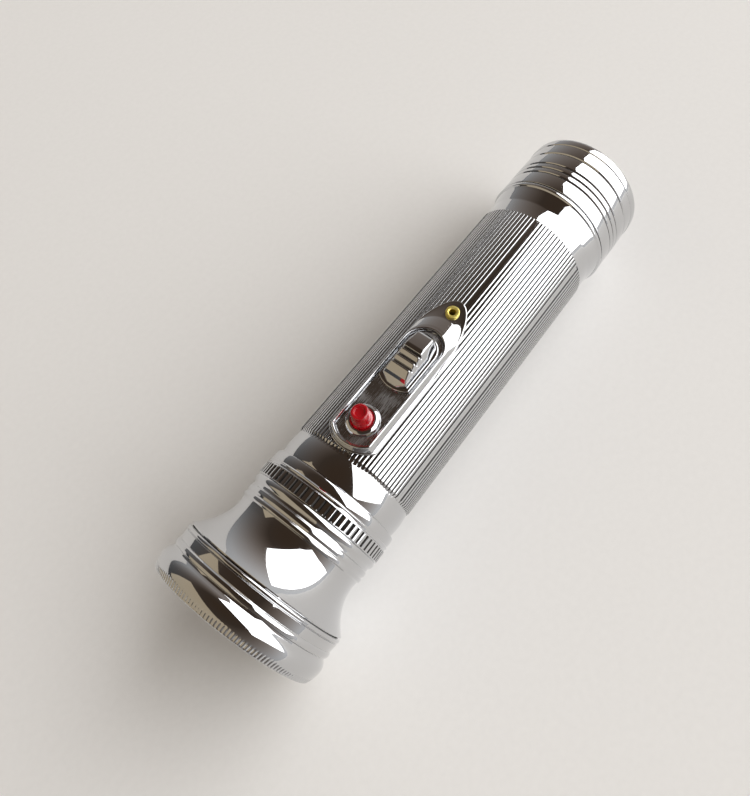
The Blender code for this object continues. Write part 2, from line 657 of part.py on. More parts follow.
NECK_GROOVE_RADIUS = HEAD_RADIUS - NECK_GROOVE_DEPTH
neck_beads = []
for i in range(NECK_BEADS):
    foot = BEADS_REAR + i * NECK_BEAD_LENGTH
    neck_beads += bead(NECK_GROOVE_RADIUS, foot, foot + NECK_BEAD_LENGTH, NECK_BEAD_HEIGHT)[:-1]
ring_bead = bead(HEAD_RADIUS, HEAD_REAR + RING_LENGTH, HEAD_REAR + RING_LENGTH + RING_BEAD, BAND_RISE)
head_shell = turned("head_shell", [
    (HEAD_RADIUS - HEAD_EDGE, HEAD_REAR),
    (HEAD_RADIUS, HEAD_REAR + HEAD_EDGE),
    *ring_bead,
    (HEAD_RADIUS, BAND_REAR - BAND_RISE),
    (HEAD_RADIUS + BAND_RISE, BAND_REAR),
    (HEAD_RADIUS + BAND_RISE, BAND_FRONT),
    (HEAD_RADIUS - BAND_RISE, SLOPE_FRONT),
    (NECK_GROOVE_RADIUS, SLOPE_FRONT + NECK_GROOVE_DEPTH),
    *neck_beads,
    (NECK_GROOVE_RADIUS, BEADS_FRONT),
    *bell(0.0, 6),
    (HEAD_THREAD, BELL_FRONT + GAP / 2),
    (HEAD_THREAD, HEAD_FRONT),
    (HEAD_THREAD - HEAD_WALL, HEAD_FRONT),
    *reversed(bell(HEAD_WALL, 2)[:-1]),
    (NECK_GROOVE_RADIUS - HEAD_WALL, BEADS_FRONT),
    (NECK_GROOVE_RADIUS - HEAD_WALL, SLOPE_FRONT),
    (HEAD_BORE, SLOPE_FRONT - NECK_GROOVE_DEPTH),
    (HEAD_BORE, HEAD_REAR),
])
piece(head_shell, CHROME, 1.0, 0.06)
teeth_rear = BAND_REAR + BAND_RISE
teeth_front = BAND_FRONT - BAND_RISE
band_radius = HEAD_RADIUS + BAND_RISE
band_cutters = milled("grip_teeth", BAND_TEETH, TOOTH_GROOVE, teeth_rear, teeth_front, band_radius)
shape(head_shell, band_cutters, "DIFFERENCE")


# Bezel ring: beads and a band at the rear, a rounded shoulder and a lip over the lens
def shoulder(height):
    """The shoulder's radius at a height: a parabola up to its widest place and another down to the front."""
    if height < SHOULDER_PLACE:
        rise = SHOULDER_RISE + BEZEL_GROOVE_DEPTH
        return SHOULDER_RADIUS - rise * ((SHOULDER_PLACE - height) / SHOULDER_REAR) ** 2
    return SHOULDER_RADIUS - SHOULDER_DROP * ((height - SHOULDER_PLACE) / SHOULDER_FRONT) ** 2


bezel_front = TORCH_LENGTH - BEZEL_EDGE
shoulder_heights = spaced(SHOULDER_START, SHOULDER_PLACE, 3)[:-1] + spaced(SHOULDER_PLACE, bezel_front, 3)
second_bead = bead(BEZEL_RADIUS, BEZEL_BAND_FRONT, BEZEL_GROOVE_REAR, BEZEL_BEAD_HEIGHT)
bezel_ring = turned("bezel_ring", [
    *bead(BEZEL_RADIUS, BEZEL_REAR, BEZEL_REAR + BEZEL_BEAD, BEZEL_BEAD_HEIGHT),
    *second_bead,
    *[(shoulder(height), height) for height in shoulder_heights],
    (BEZEL_FACE_RADIUS, TORCH_LENGTH),
    (LIP_RADIUS, TORCH_LENGTH),
    (LIP_RADIUS, TORCH_LENGTH - BEZEL_LIP),
    (BEZEL_BORE, TORCH_LENGTH - BEZEL_LIP),
    (BEZEL_BORE, BEZEL_REAR),
])
piece(bezel_ring, CHROME, 1.0, 0.06)

# Lens and gasket, clamped between the bezel's lip and the reflector's rim
lens = turned("lens_glass", [
    (0.0, LENS_REAR),
    (LENS_RADIUS, LENS_REAR),
    (LENS_RADIUS, LENS_FRONT - GAP),
    (LENS_RADIUS - GAP, LENS_FRONT),
    (0.0, LENS_FRONT),
])
piece(lens, (0.90, 0.94, 0.94), 0.0, 0.05)
gasket_inside = LENS_RADIUS - GASKET_WIDTH
gasket = turned("lens_gasket", ring(gasket_inside, LENS_RADIUS, GASKET_REAR, LENS_REAR - GAP), SMALL_STEPS)
piece(gasket, (0.03, 0.03, 0.03), 0.0, 0.80)

# Reflector: a parabola with the bulb's globe at its focus, a neck over the socket and a flat rim
focus_depth = MIRROR_FRONT - GLOBE_CENTRE
FOCAL_LENGTH = (math.sqrt(focus_depth ** 2 + MIRROR_RADIUS ** 2) - focus_depth) / 2
MIRROR_POLE = GLOBE_CENTRE - FOCAL_LENGTH


def mirror(height):
    """The radius of the reflector's curve at a height."""
    return math.sqrt(4 * FOCAL_LENGTH * (height - MIRROR_POLE))


def mirror_line(offset, front, count):
    """The reflector's curve from its neck to a height, moved outwards by an offset, in so many steps."""
    radii = spaced(MIRROR_NECK, mirror(front), count)
    return [(r + offset, MIRROR_POLE + r ** 2 / (4 * FOCAL_LENGTH)) for r in radii]


RIM_UNDER = HEAD_FRONT + GAP
reflector = turned("reflector", [
    (MIRROR_NECK + REFLECTOR_WALL, FLANGE_FRONT + GAP),
    *mirror_line(REFLECTOR_WALL, RIM_UNDER, 5),
    (LENS_RADIUS, RIM_UNDER),
    (LENS_RADIUS, MIRROR_FRONT),
    *reversed(mirror_line(0.0, MIRROR_FRONT, 5)),
    (MIRROR_NECK, FLANGE_FRONT + GAP),
])
piece(reflector, (0.88, 0.88, 0.88), 1.0, 0.05)

# Bulb socket with its contact flange, the bulb in it, and the washer that keeps the flange off the cell
socket_rear = BULB_BASE_REAR - GAP
bulb_socket = turned("bulb_socket", [
    (SOCKET_RADIUS, socket_rear),
    (SOCKET_RADIUS, FLANGE_REAR),
    (FLANGE_DIAMETER / 2, FLANGE_REAR),
    (FLANGE_DIAMETER / 2, FLANGE_FRONT),
    (SOCKET_RADIUS, FLANGE_FRONT),
    (SOCKET_RADIUS, BULB_GLASS_REAR),
    (SOCKET_BORE, BULB_GLASS_REAR),
    (SOCKET_BORE, socket_rear),
], SMALL_STEPS)
piece(bulb_socket, BRASS, 1.0, 0.25)
washer_front = FLANGE_REAR - GAP
washer = turned("insulating_washer", ring(
    SOCKET_RADIUS + GAP, WASHER_DIAMETER / 2, washer_front - WASHER_THICKNESS, washer_front,
), SMALL_STEPS)
piece(washer, (0.35, 0.07, 0.05), 0.0, 0.70)
tip_radius = BULB_TIP_DIAMETER / 2
bulb_contact = turned("bulb_contact", [
    (0.0, BULB_REAR),
    (BULB_TIP_FACE_DIAMETER / 2, BULB_REAR),
    (tip_radius, BULB_REAR + BULB_TIP_EDGE),
    (tip_radius, BULB_REAR + BULB_TIP_LENGTH),
    (0.0, BULB_REAR + BULB_TIP_LENGTH),
], TINY_STEPS)
piece(bulb_contact, (0.60, 0.60, 0.62), 1.0, 0.40)
base_radius = BULB_BASE_DIAMETER / 2
bulb_base = turned("bulb_base", [
    (0.0, BULB_BASE_REAR),
    (tip_radius + GAP, BULB_BASE_REAR),
    (base_radius, BULB_BASE_REAR + BULB_BASE_FOOT),
    (base_radius, BULB_GLASS_REAR - GAP),
    (0.0, BULB_GLASS_REAR - GAP),
], SMALL_STEPS)
piece(bulb_base, BRASS, 1.0, 0.30)
globe_radius = BULB_GLOBE_DIAMETER / 2
stem_angle = -math.acos(BULB_STEM_DIAMETER / BULB_GLOBE_DIAMETER)
globe = arc((0.0, GLOBE_CENTRE), globe_radius, stem_angle, math.pi / 2)
bulb_glass = turned("bulb_glass", [
    (0.0, BULB_GLASS_REAR),
    (BULB_STEM_DIAMETER / 2, BULB_GLASS_REAR),
    *globe[:-1],
    (0.0, GLOBE_CENTRE + globe_radius),
], SMALL_STEPS)
piece(bulb_glass, (0.92, 0.92, 0.90), 0.0, 0.05)

# Switch plate: a flange bent to the barrel, a walled part raised from it that slopes behind, and a flat pan
plate_plan = bullet(PLATE_REAR, PLATE_FRONT, PLATE_HALF, PLATE_TONGUE, PLATE_FRONT_RADIUS)
switch_plate = slab("switch_plate", [plate_plan], INSIDE, OUTSIDE)
piece(switch_plate, CHROME, 1.0, 0.08)
bend_rear = PLATE_REAR - PLATE_HALF
bend_front = PLATE_FRONT + PLATE_HALF
bend = turned("flange_outside", ring(INSIDE, FLANGE_TOP, bend_rear, bend_front), 2 * TURN_STEPS)
shape(switch_plate, bend, "INTERSECT")
wall_plan = bullet(WALL_REAR, WALL_FRONT, WALL_HALF, WALL_HALF, WALL_FRONT_RADIUS)
wall = slab("raised_part", [wall_plan], INSIDE + GAP, PAN_TOP, edge=PAN_EDGE)
shape(switch_plate, wall, "UNION")
slope = slab("rear_slope", [[
    (SLOPE_FOOT, FLANGE_TOP),
    (SLOPE_TOP, PAN_TOP),
    (SLOPE_TOP, OUTSIDE),
    (SLOPE_FOOT, OUTSIDE),
]], -PLATE_HALF, PLATE_HALF, FROM_SIDE)
shape(switch_plate, slope, "DIFFERENCE")
saddle = turned("saddle", [
    (0.0, bend_rear - GAP),
    (PLATE_UNDER, bend_rear - GAP),
    (PLATE_UNDER, bend_front + GAP),
    (0.0, bend_front + GAP),
], 2 * TURN_STEPS)
shape(switch_plate, saddle, "DIFFERENCE")
pan = slab("pan", [bullet(PAN_REAR, PAN_FRONT, PAN_HALF, PAN_HALF, PAN_FRONT_RADIUS)], PAN_FLOOR_TOP, OUTSIDE)
for tool in (pan, slot, ferrule_hole, eyelet_hole):
    shape(switch_plate, tool, "DIFFERENCE")

# Brass eyelet through the tongue, the barrel and the insulator
eyelet_foot = FLANGE_TOP + GAP
eyelet_brow = eyelet_foot + EYELET_HEAD / 2
eyelet_top = eyelet_foot + EYELET_HEAD
plate_eyelet = turned("plate_eyelet", [
    (EYELET_RADIUS, STRIP_UNDER),
    (EYELET_RADIUS, eyelet_foot),
    (EYELET_HEAD_RADIUS, eyelet_foot),
    (EYELET_HEAD_RADIUS, eyelet_brow),
    (EYELET_RADIUS, eyelet_top),
    (EYELET_BORE + EYELET_WALL / 2, eyelet_top),
    (EYELET_BORE, eyelet_brow),
    (EYELET_BORE, STRIP_UNDER),
], TINY_STEPS, Matrix.Translation((0, 0, EYELET_PLACE)) @ ON_SWITCH_SIDE)
piece(plate_eyelet, BRASS, 1.0, 0.25)


# Thumb slide: a base in the pan, a tapering grip with dome, ribs and block, and a tab through the slot
def grip_side():
    """The grip seen from the side, as (along, distance) points from its rear foot over the top."""
    foot = SLIDE_UNDER + SLIDE_BASE / 2
    rise = GRIP_TOP - foot
    where = SLIDE_REAR + GRIP_INSET
    turns = spaced(0.0, math.pi / 2, 4)
    points = [(where + DOME_ROUND * (1 - math.cos(a)), foot + rise * math.sin(a)) for a in turns]
    where += DOME_LENGTH
    points.append((where, GRIP_TOP))
    top = GRIP_TOP
    notch_side = (NOTCH_WIDTH - NOTCH_FLOOR) / 2
    for length, fall in [(RIB_LENGTH, RIB_FALL)] * RIB_COUNT + [(BLOCK_LENGTH, BLOCK_FALL)]:
        top -= RIB_FALL
        points.append((where + notch_side, top - NOTCH_DEPTH))
        points.append((where + notch_side + NOTCH_FLOOR, top - NOTCH_DEPTH))
        points.append((where + NOTCH_WIDTH, top))
        where += NOTCH_WIDTH + length
        points.append((where, top - fall))
    points.append((SLIDE_FRONT - SLIDE_TOE, foot))
    return points


thumb_slide = slab("thumb_slide", [grip_side()], -SLIDE_HALF, SLIDE_HALF, FROM_SIDE)
piece(thumb_slide, CHROME, 1.0, 0.08)
brow = GRIP_TOP_WIDTH / 2
taper = slab("grip_taper", [[
    (SLIDE_UNDER, -GRIP_HALF),
    (GRIP_TOP - GRIP_EDGE, -brow),
    (GRIP_TOP + GRIP_EDGE, 2 * GRIP_EDGE - brow),
    (GRIP_TOP + GRIP_EDGE, brow - 2 * GRIP_EDGE),
    (GRIP_TOP - GRIP_EDGE, brow),
    (SLIDE_UNDER, GRIP_HALF),
]], SLIDE_REAR, SLIDE_FRONT, ACROSS)
shape(thumb_slide, taper, "INTERSECT")
grip_plan = bullet(SLIDE_REAR + GRIP_INSET, SLIDE_FRONT - GRIP_INSET, GRIP_HALF, GRIP_HALF, PAN_FRONT_RADIUS)
shape(thumb_slide, slab("grip_plan", [grip_plan], SLIDE_UNDER, OUTSIDE), "INTERSECT")
base_plan = bullet(SLIDE_REAR, SLIDE_FRONT, SLIDE_HALF, SLIDE_HALF, PAN_FRONT_RADIUS)
shape(thumb_slide, slab("slide_base", [base_plan], SLIDE_UNDER, SLIDE_TOP), "UNION")
tab = slab("slide_tab", [box(SLIDE_CENTRE - TAB_LENGTH / 2, SLIDE_CENTRE + TAB_LENGTH / 2, TAB_WIDTH / 2)],
           TAB_END, SLIDE_UNDER + SLIDE_BASE / 2)
shape(thumb_slide, tab, "UNION")
clip_top = TAB_END + CLIP_THICKNESS
slide_clip = slab("slide_clip", [
    box(SLIDE_CENTRE - CLIP_LENGTH / 2, SLIDE_CENTRE + CLIP_LENGTH / 2, CLIP_WIDTH / 2),
    box(SLIDE_CENTRE - TAB_LENGTH / 2 - GAP, SLIDE_CENTRE + TAB_LENGTH / 2 + GAP, SLOT_HALF),
], TAB_END, clip_top)
piece(slide_clip, BRASS, 1.0, 0.30)

# Ferrule: a plated and domed boss with a sleeve through plate and barrel, and a well for the button's flange
on_button = Matrix.Translation((0, 0, BUTTON_PLACE)) @ ON_SWITCH_SIDE
boss_radius = FERRULE_BOSS_DIAMETER / 2
boss_brow = FERRULE_UNDER + FERRULE_BOSS_SIDE
rim_radius = FERRULE_BORE + FERRULE_RIM
boss_rise = FERRULE_TOP - boss_brow
boss_dome = [
    (rim_radius + (boss_radius - rim_radius) * math.cos(a), boss_brow + boss_rise * math.sin(a))
    for a in spaced(0.0, math.pi / 2, 3)
]
ledge_radius = FERRULE_BORE - FERRULE_LEDGE
button_ferrule = turned("button_ferrule", [
    (FERRULE_RADIUS, FERRULE_END),
    (FERRULE_RADIUS, FERRULE_UNDER),
    (boss_radius, FERRULE_UNDER),
    *boss_dome,
    (FERRULE_BORE + GAP, FERRULE_TOP),
    (FERRULE_BORE, FERRULE_TOP - GAP),
    (FERRULE_BORE, BUTTON_FLANGE_TOP + GAP),
    (FERRULE_WELL, BUTTON_FLANGE_TOP + GAP),
    (FERRULE_WELL, LIP_TOP),
    (ledge_radius, LIP_TOP),
    (ledge_radius, FERRULE_END),
], SMALL_STEPS, on_button)
piece(button_ferrule, CHROME, 1.0, 0.08)
button_brow = BUTTON_TOP_DIAMETER / 2
dish_radius = button_brow - BUTTON_EDGE - BUTTON_RIM
signal_button = turned("signal_button", [
    (0.0, BUTTON_UNDER),
    (FLANGE_OF_BUTTON, BUTTON_UNDER),
    (FLANGE_OF_BUTTON, BUTTON_FLANGE_TOP),
    (BUTTON_RADIUS, BUTTON_FLANGE_TOP),
    (BUTTON_RADIUS, FERRULE_TOP),
    (button_brow, BUTTON_TOP - BUTTON_EDGE),
    (button_brow - BUTTON_EDGE, BUTTON_TOP),
    (dish_radius, BUTTON_TOP),
    (dish_radius - BUTTON_DISH_SLOPE, BUTTON_TOP - BUTTON_DISH),
    (0.0, BUTTON_TOP - BUTTON_DISH),
], SMALL_STEPS, on_button)
piece(signal_button, (0.62, 0.02, 0.05), 0.0, 0.20)
button_spring = coil(
    "button_spring", BUTTON_SPRING_WIRE, BUTTON_SPRING_TURNS,
    LIP_TOP + GAP + BUTTON_SPRING_WIRE / 2, BUTTON_UNDER - GAP - BUTTON_SPRING_WIRE / 2,
    BUTTON_RADIUS - BUTTON_SPRING_WIRE / 2, BUTTON_RADIUS - BUTTON_SPRING_WIRE / 2, on_button,
)
piece(button_spring, (0.60, 0.60, 0.60), 1.0, 0.30)

# Fibre insulator against the bore, with a window for the slide's clip, and the brass strip under it
RIVET_CENTRE = STRIP_REAR + RIVET_PLACE
rivet_radius = RIVET_DIAMETER / 2
rivet_outline = disc(RIVET_CENTRE, rivet_radius + GAP)
strip_insulator = turned(
    "strip_insulator",
    ring(INSULATOR_INSIDE, INSULATOR_OUTSIDE, EYELET_PLACE - INSULATOR_TAIL, NECK_END - GAP),
)
piece(strip_insulator, (0.30, 0.20, 0.12), 0.0, 0.75)
cut_out = slab("insulator_cut", [box(0.0, TORCH_LENGTH, INSULATOR_WIDTH / 2)], CELL_RADIUS / 2, OUTSIDE)
shape(strip_insulator, cut_out, "INTERSECT")
window = slab("clip_window", [box(
    SLIDE_CENTRE - CLIP_LENGTH / 2 - 2 * GAP,
    SLIDE_CENTRE + CLIP_LENGTH / 2 + SLIDE_TRAVEL + 2 * GAP,
    CLIP_WIDTH / 2 + 2 * GAP,
)], INSIDE, OUTSIDE)
rivet_hole = slab("rivet_hole", [rivet_outline], INSIDE - GAP, OUTSIDE)
for tool in (window, rivet_hole, ferrule_hole, eyelet_hole):
    shape(strip_insulator, tool, "DIFFERENCE")
contact_strip = slab("contact_strip", [
    box(STRIP_REAR, STRIP_FRONT, STRIP_WIDTH / 2),
    rivet_outline,
], STRIP_UNDER, STRIP_TOP)
piece(contact_strip, BRASS, 1.0, 0.25)
strip_rivet = turned("strip_rivet", [
    (0.0, STRIP_UNDER),
    (rivet_radius, STRIP_UNDER),
    (rivet_radius, INSULATOR_OUTSIDE),
    (0.0, INSULATOR_OUTSIDE),
], TINY_STEPS, Matrix.Translation((0, 0, RIVET_CENTRE)) @ ON_SWITCH_SIDE)
piece(strip_rivet, BRASS, 1.0, 0.35)
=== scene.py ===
import json
import math

import bmesh
import bpy
from mathutils import Matrix, Vector


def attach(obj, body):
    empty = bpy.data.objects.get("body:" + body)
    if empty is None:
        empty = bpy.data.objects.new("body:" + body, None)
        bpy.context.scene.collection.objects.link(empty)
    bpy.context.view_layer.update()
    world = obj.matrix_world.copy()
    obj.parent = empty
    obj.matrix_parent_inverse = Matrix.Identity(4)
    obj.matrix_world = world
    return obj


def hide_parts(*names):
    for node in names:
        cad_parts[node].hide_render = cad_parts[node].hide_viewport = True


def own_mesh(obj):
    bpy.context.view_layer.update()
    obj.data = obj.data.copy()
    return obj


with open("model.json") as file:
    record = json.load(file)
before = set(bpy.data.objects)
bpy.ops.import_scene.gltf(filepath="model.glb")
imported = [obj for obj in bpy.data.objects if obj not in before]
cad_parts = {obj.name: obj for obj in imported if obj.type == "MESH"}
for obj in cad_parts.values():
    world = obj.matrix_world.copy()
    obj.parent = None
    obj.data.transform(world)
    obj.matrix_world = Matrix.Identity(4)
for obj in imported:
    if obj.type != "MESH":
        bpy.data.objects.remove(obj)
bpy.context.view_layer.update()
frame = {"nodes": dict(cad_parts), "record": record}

# BARREL
# The body of the torch: thin brass sheet drawn into a tube and chrome plated. Rolling over a die
# leaves fine convex reeds in six panels, one reed left out between panels, and a flared collar.
# Sizes are millimetres on the torch's own axes: Z from tail to head, X up through the switch.
MM = 0.001
tail_end = next(mount for mount in frame["record"]["mounts"] if mount["name"] == "tail_end")
ALONG = -Vector(tail_end["axis"])
SIDE = Vector((0.0, 1.0, 0.0))
torch_axes = Matrix((SIDE.cross(ALONG), SIDE, ALONG)).transposed().to_4x4()
LAID = Matrix.Translation(tail_end["pos_m"]) @ torch_axes @ Matrix.Scale(MM, 4)
FIT = math.cos(math.pi / 32)            # keeps round metal within the flats of the 32-sided solid
REEDS = 102                             # with those left out
REEDS_IN_PANEL = 17
REEDS_TURN = math.radians(-4.7)         # from the switch's middle to the nearest parting groove
REEDS_FROM = 33.9
REEDS_TO = 123.6
REED_TOP = 19.4
REED_DEPTH = 0.34
REED_CROWN = 0.085                      # how far a reed's round would fall in half a pitch
REED_EDGE = 1 / 6                       # where a reed's side begins, in pitches from the groove
STEPS_IN_REED = 12
ROLLED_FROM = 19.15                     # the die works on metal outside this radius


def rounded(corners, steps=5):
    """A line through (radius, height, rounding) corners, each rounding drawn as an arc."""
    line = []
    for i, (radius, height, rounding) in enumerate(corners):
        here = Vector((radius, height))
        if rounding == 0 or i in (0, len(corners) - 1):
            line.append(here)
            continue
        before = Vector(corners[i - 1][:2]) - here
        after = Vector(corners[i + 1][:2]) - here
        half_angle = before.angle(after) / 2
        reach = min(rounding / math.tan(half_angle), before.length * 0.49, after.length * 0.49)
        start = here + before.normalized() * reach
        end = here + after.normalized() * reach
        for step in range(steps + 1):
            t = step / steps
            line.append(start * (1 - t) ** 2 + here * 2 * t * (1 - t) + end * t ** 2)
    return [(point.x, point.y) for point in line]


def as_piece(mesh_data, name, sharp=32):
    """A smooth object from a bmesh in millimetres, laid down with the torch.

    An edge that turns by more than sharp degrees stays sharp.
    """
    bmesh.ops.recalc_face_normals(mesh_data, faces=mesh_data.faces)
    mesh = bpy.data.meshes.new(name)
    mesh_data.to_mesh(mesh)
    mesh_data.free()
    mesh.transform(LAID)
    mesh.shade_smooth()
    mesh.set_sharp_from_angle(angle=math.radians(sharp))
    piece = bpy.data.objects.new(name, mesh)
    bpy.context.scene.collection.objects.link(piece)
    return piece


def turned(name, line, steps=192, relief=None, way=Matrix.Identity(4)):
    """A turned piece: a line of (radius, height) spun about the axis and closed on itself.

    relief(angle, radius, height) is what rolling or milling takes off the radius there.
    """
    skin = bmesh.new()
    rings = []
    for radius, height in line:
        if radius < 1e-6:
            rings.append([skin.verts.new(way @ Vector((0, 0, height)))])
            continue
        ring = []
        for step in range(steps):
            angle = 2 * math.pi * step / steps
            depth = relief(angle, radius, height) if relief else 0.0
            out = (radius - depth) * FIT
            point = Vector((out * math.cos(angle), out * math.sin(angle), height))
            ring.append(skin.verts.new(way @ point))
        rings.append(ring)
    if len(rings[0]) > 1:
        rings.append(rings[0])
    for low, high in zip(rings, rings[1:]):
        if len(low) == len(high) == 1:
            continue
        for step in range(steps):
            after = (step + 1) % steps
            if len(low) == 1:
                skin.faces.new((low[0], high[after], high[step]))
            elif len(high) == 1:
                skin.faces.new((low[step], low[after], high[0]))
            else:
                skin.faces.new((low[step], low[after], high[after], high[step]))
    return as_piece(skin, name)


def reeds(angle, radius, height):
    """How deep the rolled pattern is at a place on the barrel."""
    if radius < ROLLED_FROM or not REEDS_FROM < height < REEDS_TO:
        return 0.0
    turn = (angle - REEDS_TURN) / (2 * math.pi) * REEDS
    number = round(turn)
    if number % REEDS_IN_PANEL == 0:
        return REED_DEPTH
    to_groove = 0.5 - abs(turn - number)
    crown = REED_CROWN * (1 - 2 * max(to_groove, REED_EDGE)) ** 2
    side = (REED_DEPTH - crown) * max(0.0, 1 - to_groove / REED_EDGE) ** 0.5
    return crown + side


def swelling(edge, bulge, middle, half, steps):
    """Corners of a band that swells out by so much over its two edges."""
    spread = [i / steps for i in range(-steps, steps + 1)]
    return [(edge + bulge * (1 - t ** 2), middle + half * t, 0) for t in spread]


neck = swelling(edge=19.0, bulge=0.33, middle=127.4, half=3.6, steps=6)
barrel_line = rounded([
    (18.7, 9.3, 0),
    (19.0, 9.5, 0.2),
    (19.0, 22.0, 0.05),
    (20.4, 22.0, 0.45),
    (20.4, 23.2, 0.4),
    (19.9, 23.5, 0.15),
    (19.7, 24.6, 1.5),
    (19.02, 28.4, 4.0),
    (19.0, 33.72, 0.1),
    (REED_TOP, REEDS_FROM, 0.12),
    (REED_TOP, 34.2, 0),
    (REED_TOP, 122.7, 0),
    (REED_TOP, 122.9, 0.3),
    *neck,
    (18.98, 131.05, 0.02),
    (18.98, 139.8, 0.1),
    (18.8, 140.0, 0.1),
    (18.42, 140.0, 0),
    (18.42, 9.3, 0),
], steps=4)
barrel = turned("barrel_tube", barrel_line, steps=STEPS_IN_REED * REEDS, relief=reeds)
CUT_EDGE = math.radians(40)             # an edge this sharp stays sharp after a cut


def shaped(piece, tool, operation="DIFFERENCE"):
    """Cut a piece with a tool, or join the two, for good, and remove the tool."""
    change = piece.modifiers.new("shape", "BOOLEAN")
    change.operation = operation
    change.solver = "EXACT"
    change.object = tool
    bpy.context.view_layer.update()
    evaluated = piece.evaluated_get(bpy.context.evaluated_depsgraph_get())
    made = bpy.data.meshes.new_from_object(evaluated)
    made.set_sharp_from_angle(angle=CUT_EDGE)
    piece.modifiers.clear()
    piece.data = made
    bpy.data.objects.remove(tool, do_unlink=True)


def prism(outline, low, high):
    """A straight-sided tool over a plan of (along, side) points, between two heights."""
    block = bmesh.new()
    foot = [block.verts.new((low, side, along)) for along, side in outline]
    top = [block.verts.new((high, side, along)) for along, side in outline]
    block.faces.new(foot)
    block.faces.new(top)
    for i in range(len(outline)):
        after = (i + 1) % len(outline)
        block.faces.new((foot[i], foot[after], top[after], top[i]))
    return as_piece(block, "cutter")


HOLE_STEPS = 48


def circle(along, radius):
    """A round plan about a place on the torch's top line."""
    angles = [2 * math.pi * step / HOLE_STEPS for step in range(HOLE_STEPS)]
    return [(along + radius * math.cos(a), radius * math.sin(a)) for a in angles]


SLOT_PLAN = [(91.05, -1.5), (102.65, -1.5), (102.65, 1.5), (91.05, 1.5)]
BUTTON_AT = 114.1
EYELET_AT = 74.8
BUTTON_HOLE = 4.2
EYELET_HOLE = 1.75
CUT_FROM = 15                           # heights between which barrel and plate are cut through
CUT_TO = 24


def pierced(piece):
    """Cut the switch's slot and the two round holes through the barrel's top side."""
    for plan in (SLOT_PLAN, circle(BUTTON_AT, BUTTON_HOLE), circle(EYELET_AT, EYELET_HOLE)):
        shaped(piece, prism(plan, CUT_FROM, CUT_TO))


pierced(barrel)


def linear(code):
    """An sRGB hex colour as Blender's linear RGBA."""
    parts = [int(code[i:i + 2], 16) / 255 for i in (1, 3, 5)]
    return (*[c / 12.92 if c <= 0.04045 else ((c + 0.055) / 1.055) ** 2.4 for c in parts], 1.0)


def add(tree, kind, values=None, links=None, **settings):
    """Add a shader node with its settings, socket values and incoming links."""
    node = tree.nodes.new("ShaderNode" + kind)
    for name, value in settings.items():
        setattr(node, name, value)
    for socket, value in (values or {}).items():
        node.inputs[socket].default_value = value
    for socket, source in (links or {}).items():
        tree.links.new(source, node.inputs[socket])
    return node


def new_finish(name):
    """A new material, its node tree, its shader and its object coordinates in metres."""
    material = bpy.data.materials.new(name)
    material.use_nodes = True
    tree = material.node_tree
    tree.nodes.clear()
    shader = add(tree, "BsdfPrincipled")
    add(tree, "OutputMaterial", links={"Surface": shader.outputs["BSDF"]})
    place = add(tree, "TexCoord").outputs["Object"]
    return material, tree, shader, place


# Bright chrome plate over polished brass: a clear cool mirror, with the slight waviness of thin
# drawn sheet every 6 mm, hazy patches 9 mm wide from handling, and hairline scratches along the
# torch. Real hairlines are 0.02 mm wide and wouldn't show, so they are drawn 0.2 mm wide.
CHROMIUM = "#CBCCCE"
POLISHED = 0.035                        # roughness of clean plate
chrome, tree, shader, place = new_finish("bright_chrome_plate")
shader.inputs["Base Color"].default_value = linear(CHROMIUM)
shader.inputs["Metallic"].default_value = 1.0
patches = {"Scale": 1 / (9 * MM), "Detail": 4.0, "Roughness": 0.6}
haze = add(tree, "TexNoise", patches, {"Vector": place})
haze_range = {"From Min": 0.48, "From Max": 0.75, "To Max": 0.05}
hazy = add(tree, "MapRange", haze_range, {"Value": haze.outputs["Fac"]})
hairlines = {"Scale": (1 / (9 * MM), 1 / (0.2 * MM), 1 / (0.2 * MM))}
streak_place = add(tree, "Mapping", hairlines, {"Vector": place}).outputs["Vector"]
streaks = add(tree, "TexNoise", {"Scale": 1.0, "Detail": 2.0}, {"Vector": streak_place})
scratch_range = {"From Min": 0.66, "From Max": 0.76, "To Max": 0.12}
scratched = add(tree, "MapRange", scratch_range, {"Value": streaks.outputs["Fac"]})
haze_and_scratches = {0: hazy.outputs["Result"], 1: scratched.outputs["Result"]}
worn = add(tree, "Math", links=haze_and_scratches, operation="ADD")
rough = add(tree, "Math", {1: POLISHED}, {0: worn.outputs["Value"]}, operation="ADD")
tree.links.new(rough.outputs["Value"], shader.inputs["Roughness"])
sheet = add(tree, "TexNoise", {"Scale": 1 / (6 * MM), "Detail": 1.0}, {"Vector": place})
wavy = add(tree, "Bump", {"Strength": 0.05, "Distance": 0.1 * MM}, {"Height": sheet.outputs["Fac"]})
tree.links.new(wavy.outputs["Normal"], shader.inputs["Normal"])


def dressed(piece, material, body, node):
    """Give a piece its finish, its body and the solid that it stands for."""
    piece.data.materials.clear()
    piece.data.materials.append(material)
    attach(piece, body)
    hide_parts(node)


dressed(barrel, chrome, "barrel", "barrel")

# Painted shade down in rolled grooves, with some grime and tarnish that polishing cannot reach:
# near black, with a dull trace of metal and a mottle of about 1.5 mm.
groove_shade_and_grime, tree, shader, place = new_finish("painted_groove_shade_and_grime")
shader.inputs["Metallic"].default_value = 0.7
groove_mottle = add(tree, "TexNoise", {"Scale": 1 / (1.5 * MM), "Detail": 3.0}, {"Vector": place})
dark = add(tree, "ValToRGB", links={"Fac": groove_mottle.outputs["Fac"]})
dark.color_ramp.elements[0].color = linear("#1E1D1C")
dark.color_ramp.elements[1].color = linear("#4A4846")
tree.links.new(dark.outputs["Color"], shader.inputs["Base Color"])
greasy = add(tree, "MapRange", {"To Min": 0.3, "To Max": 0.5}, {"Value": groove_mottle.outputs["Fac"]})
tree.links.new(greasy.outputs["Result"], shader.inputs["Roughness"])


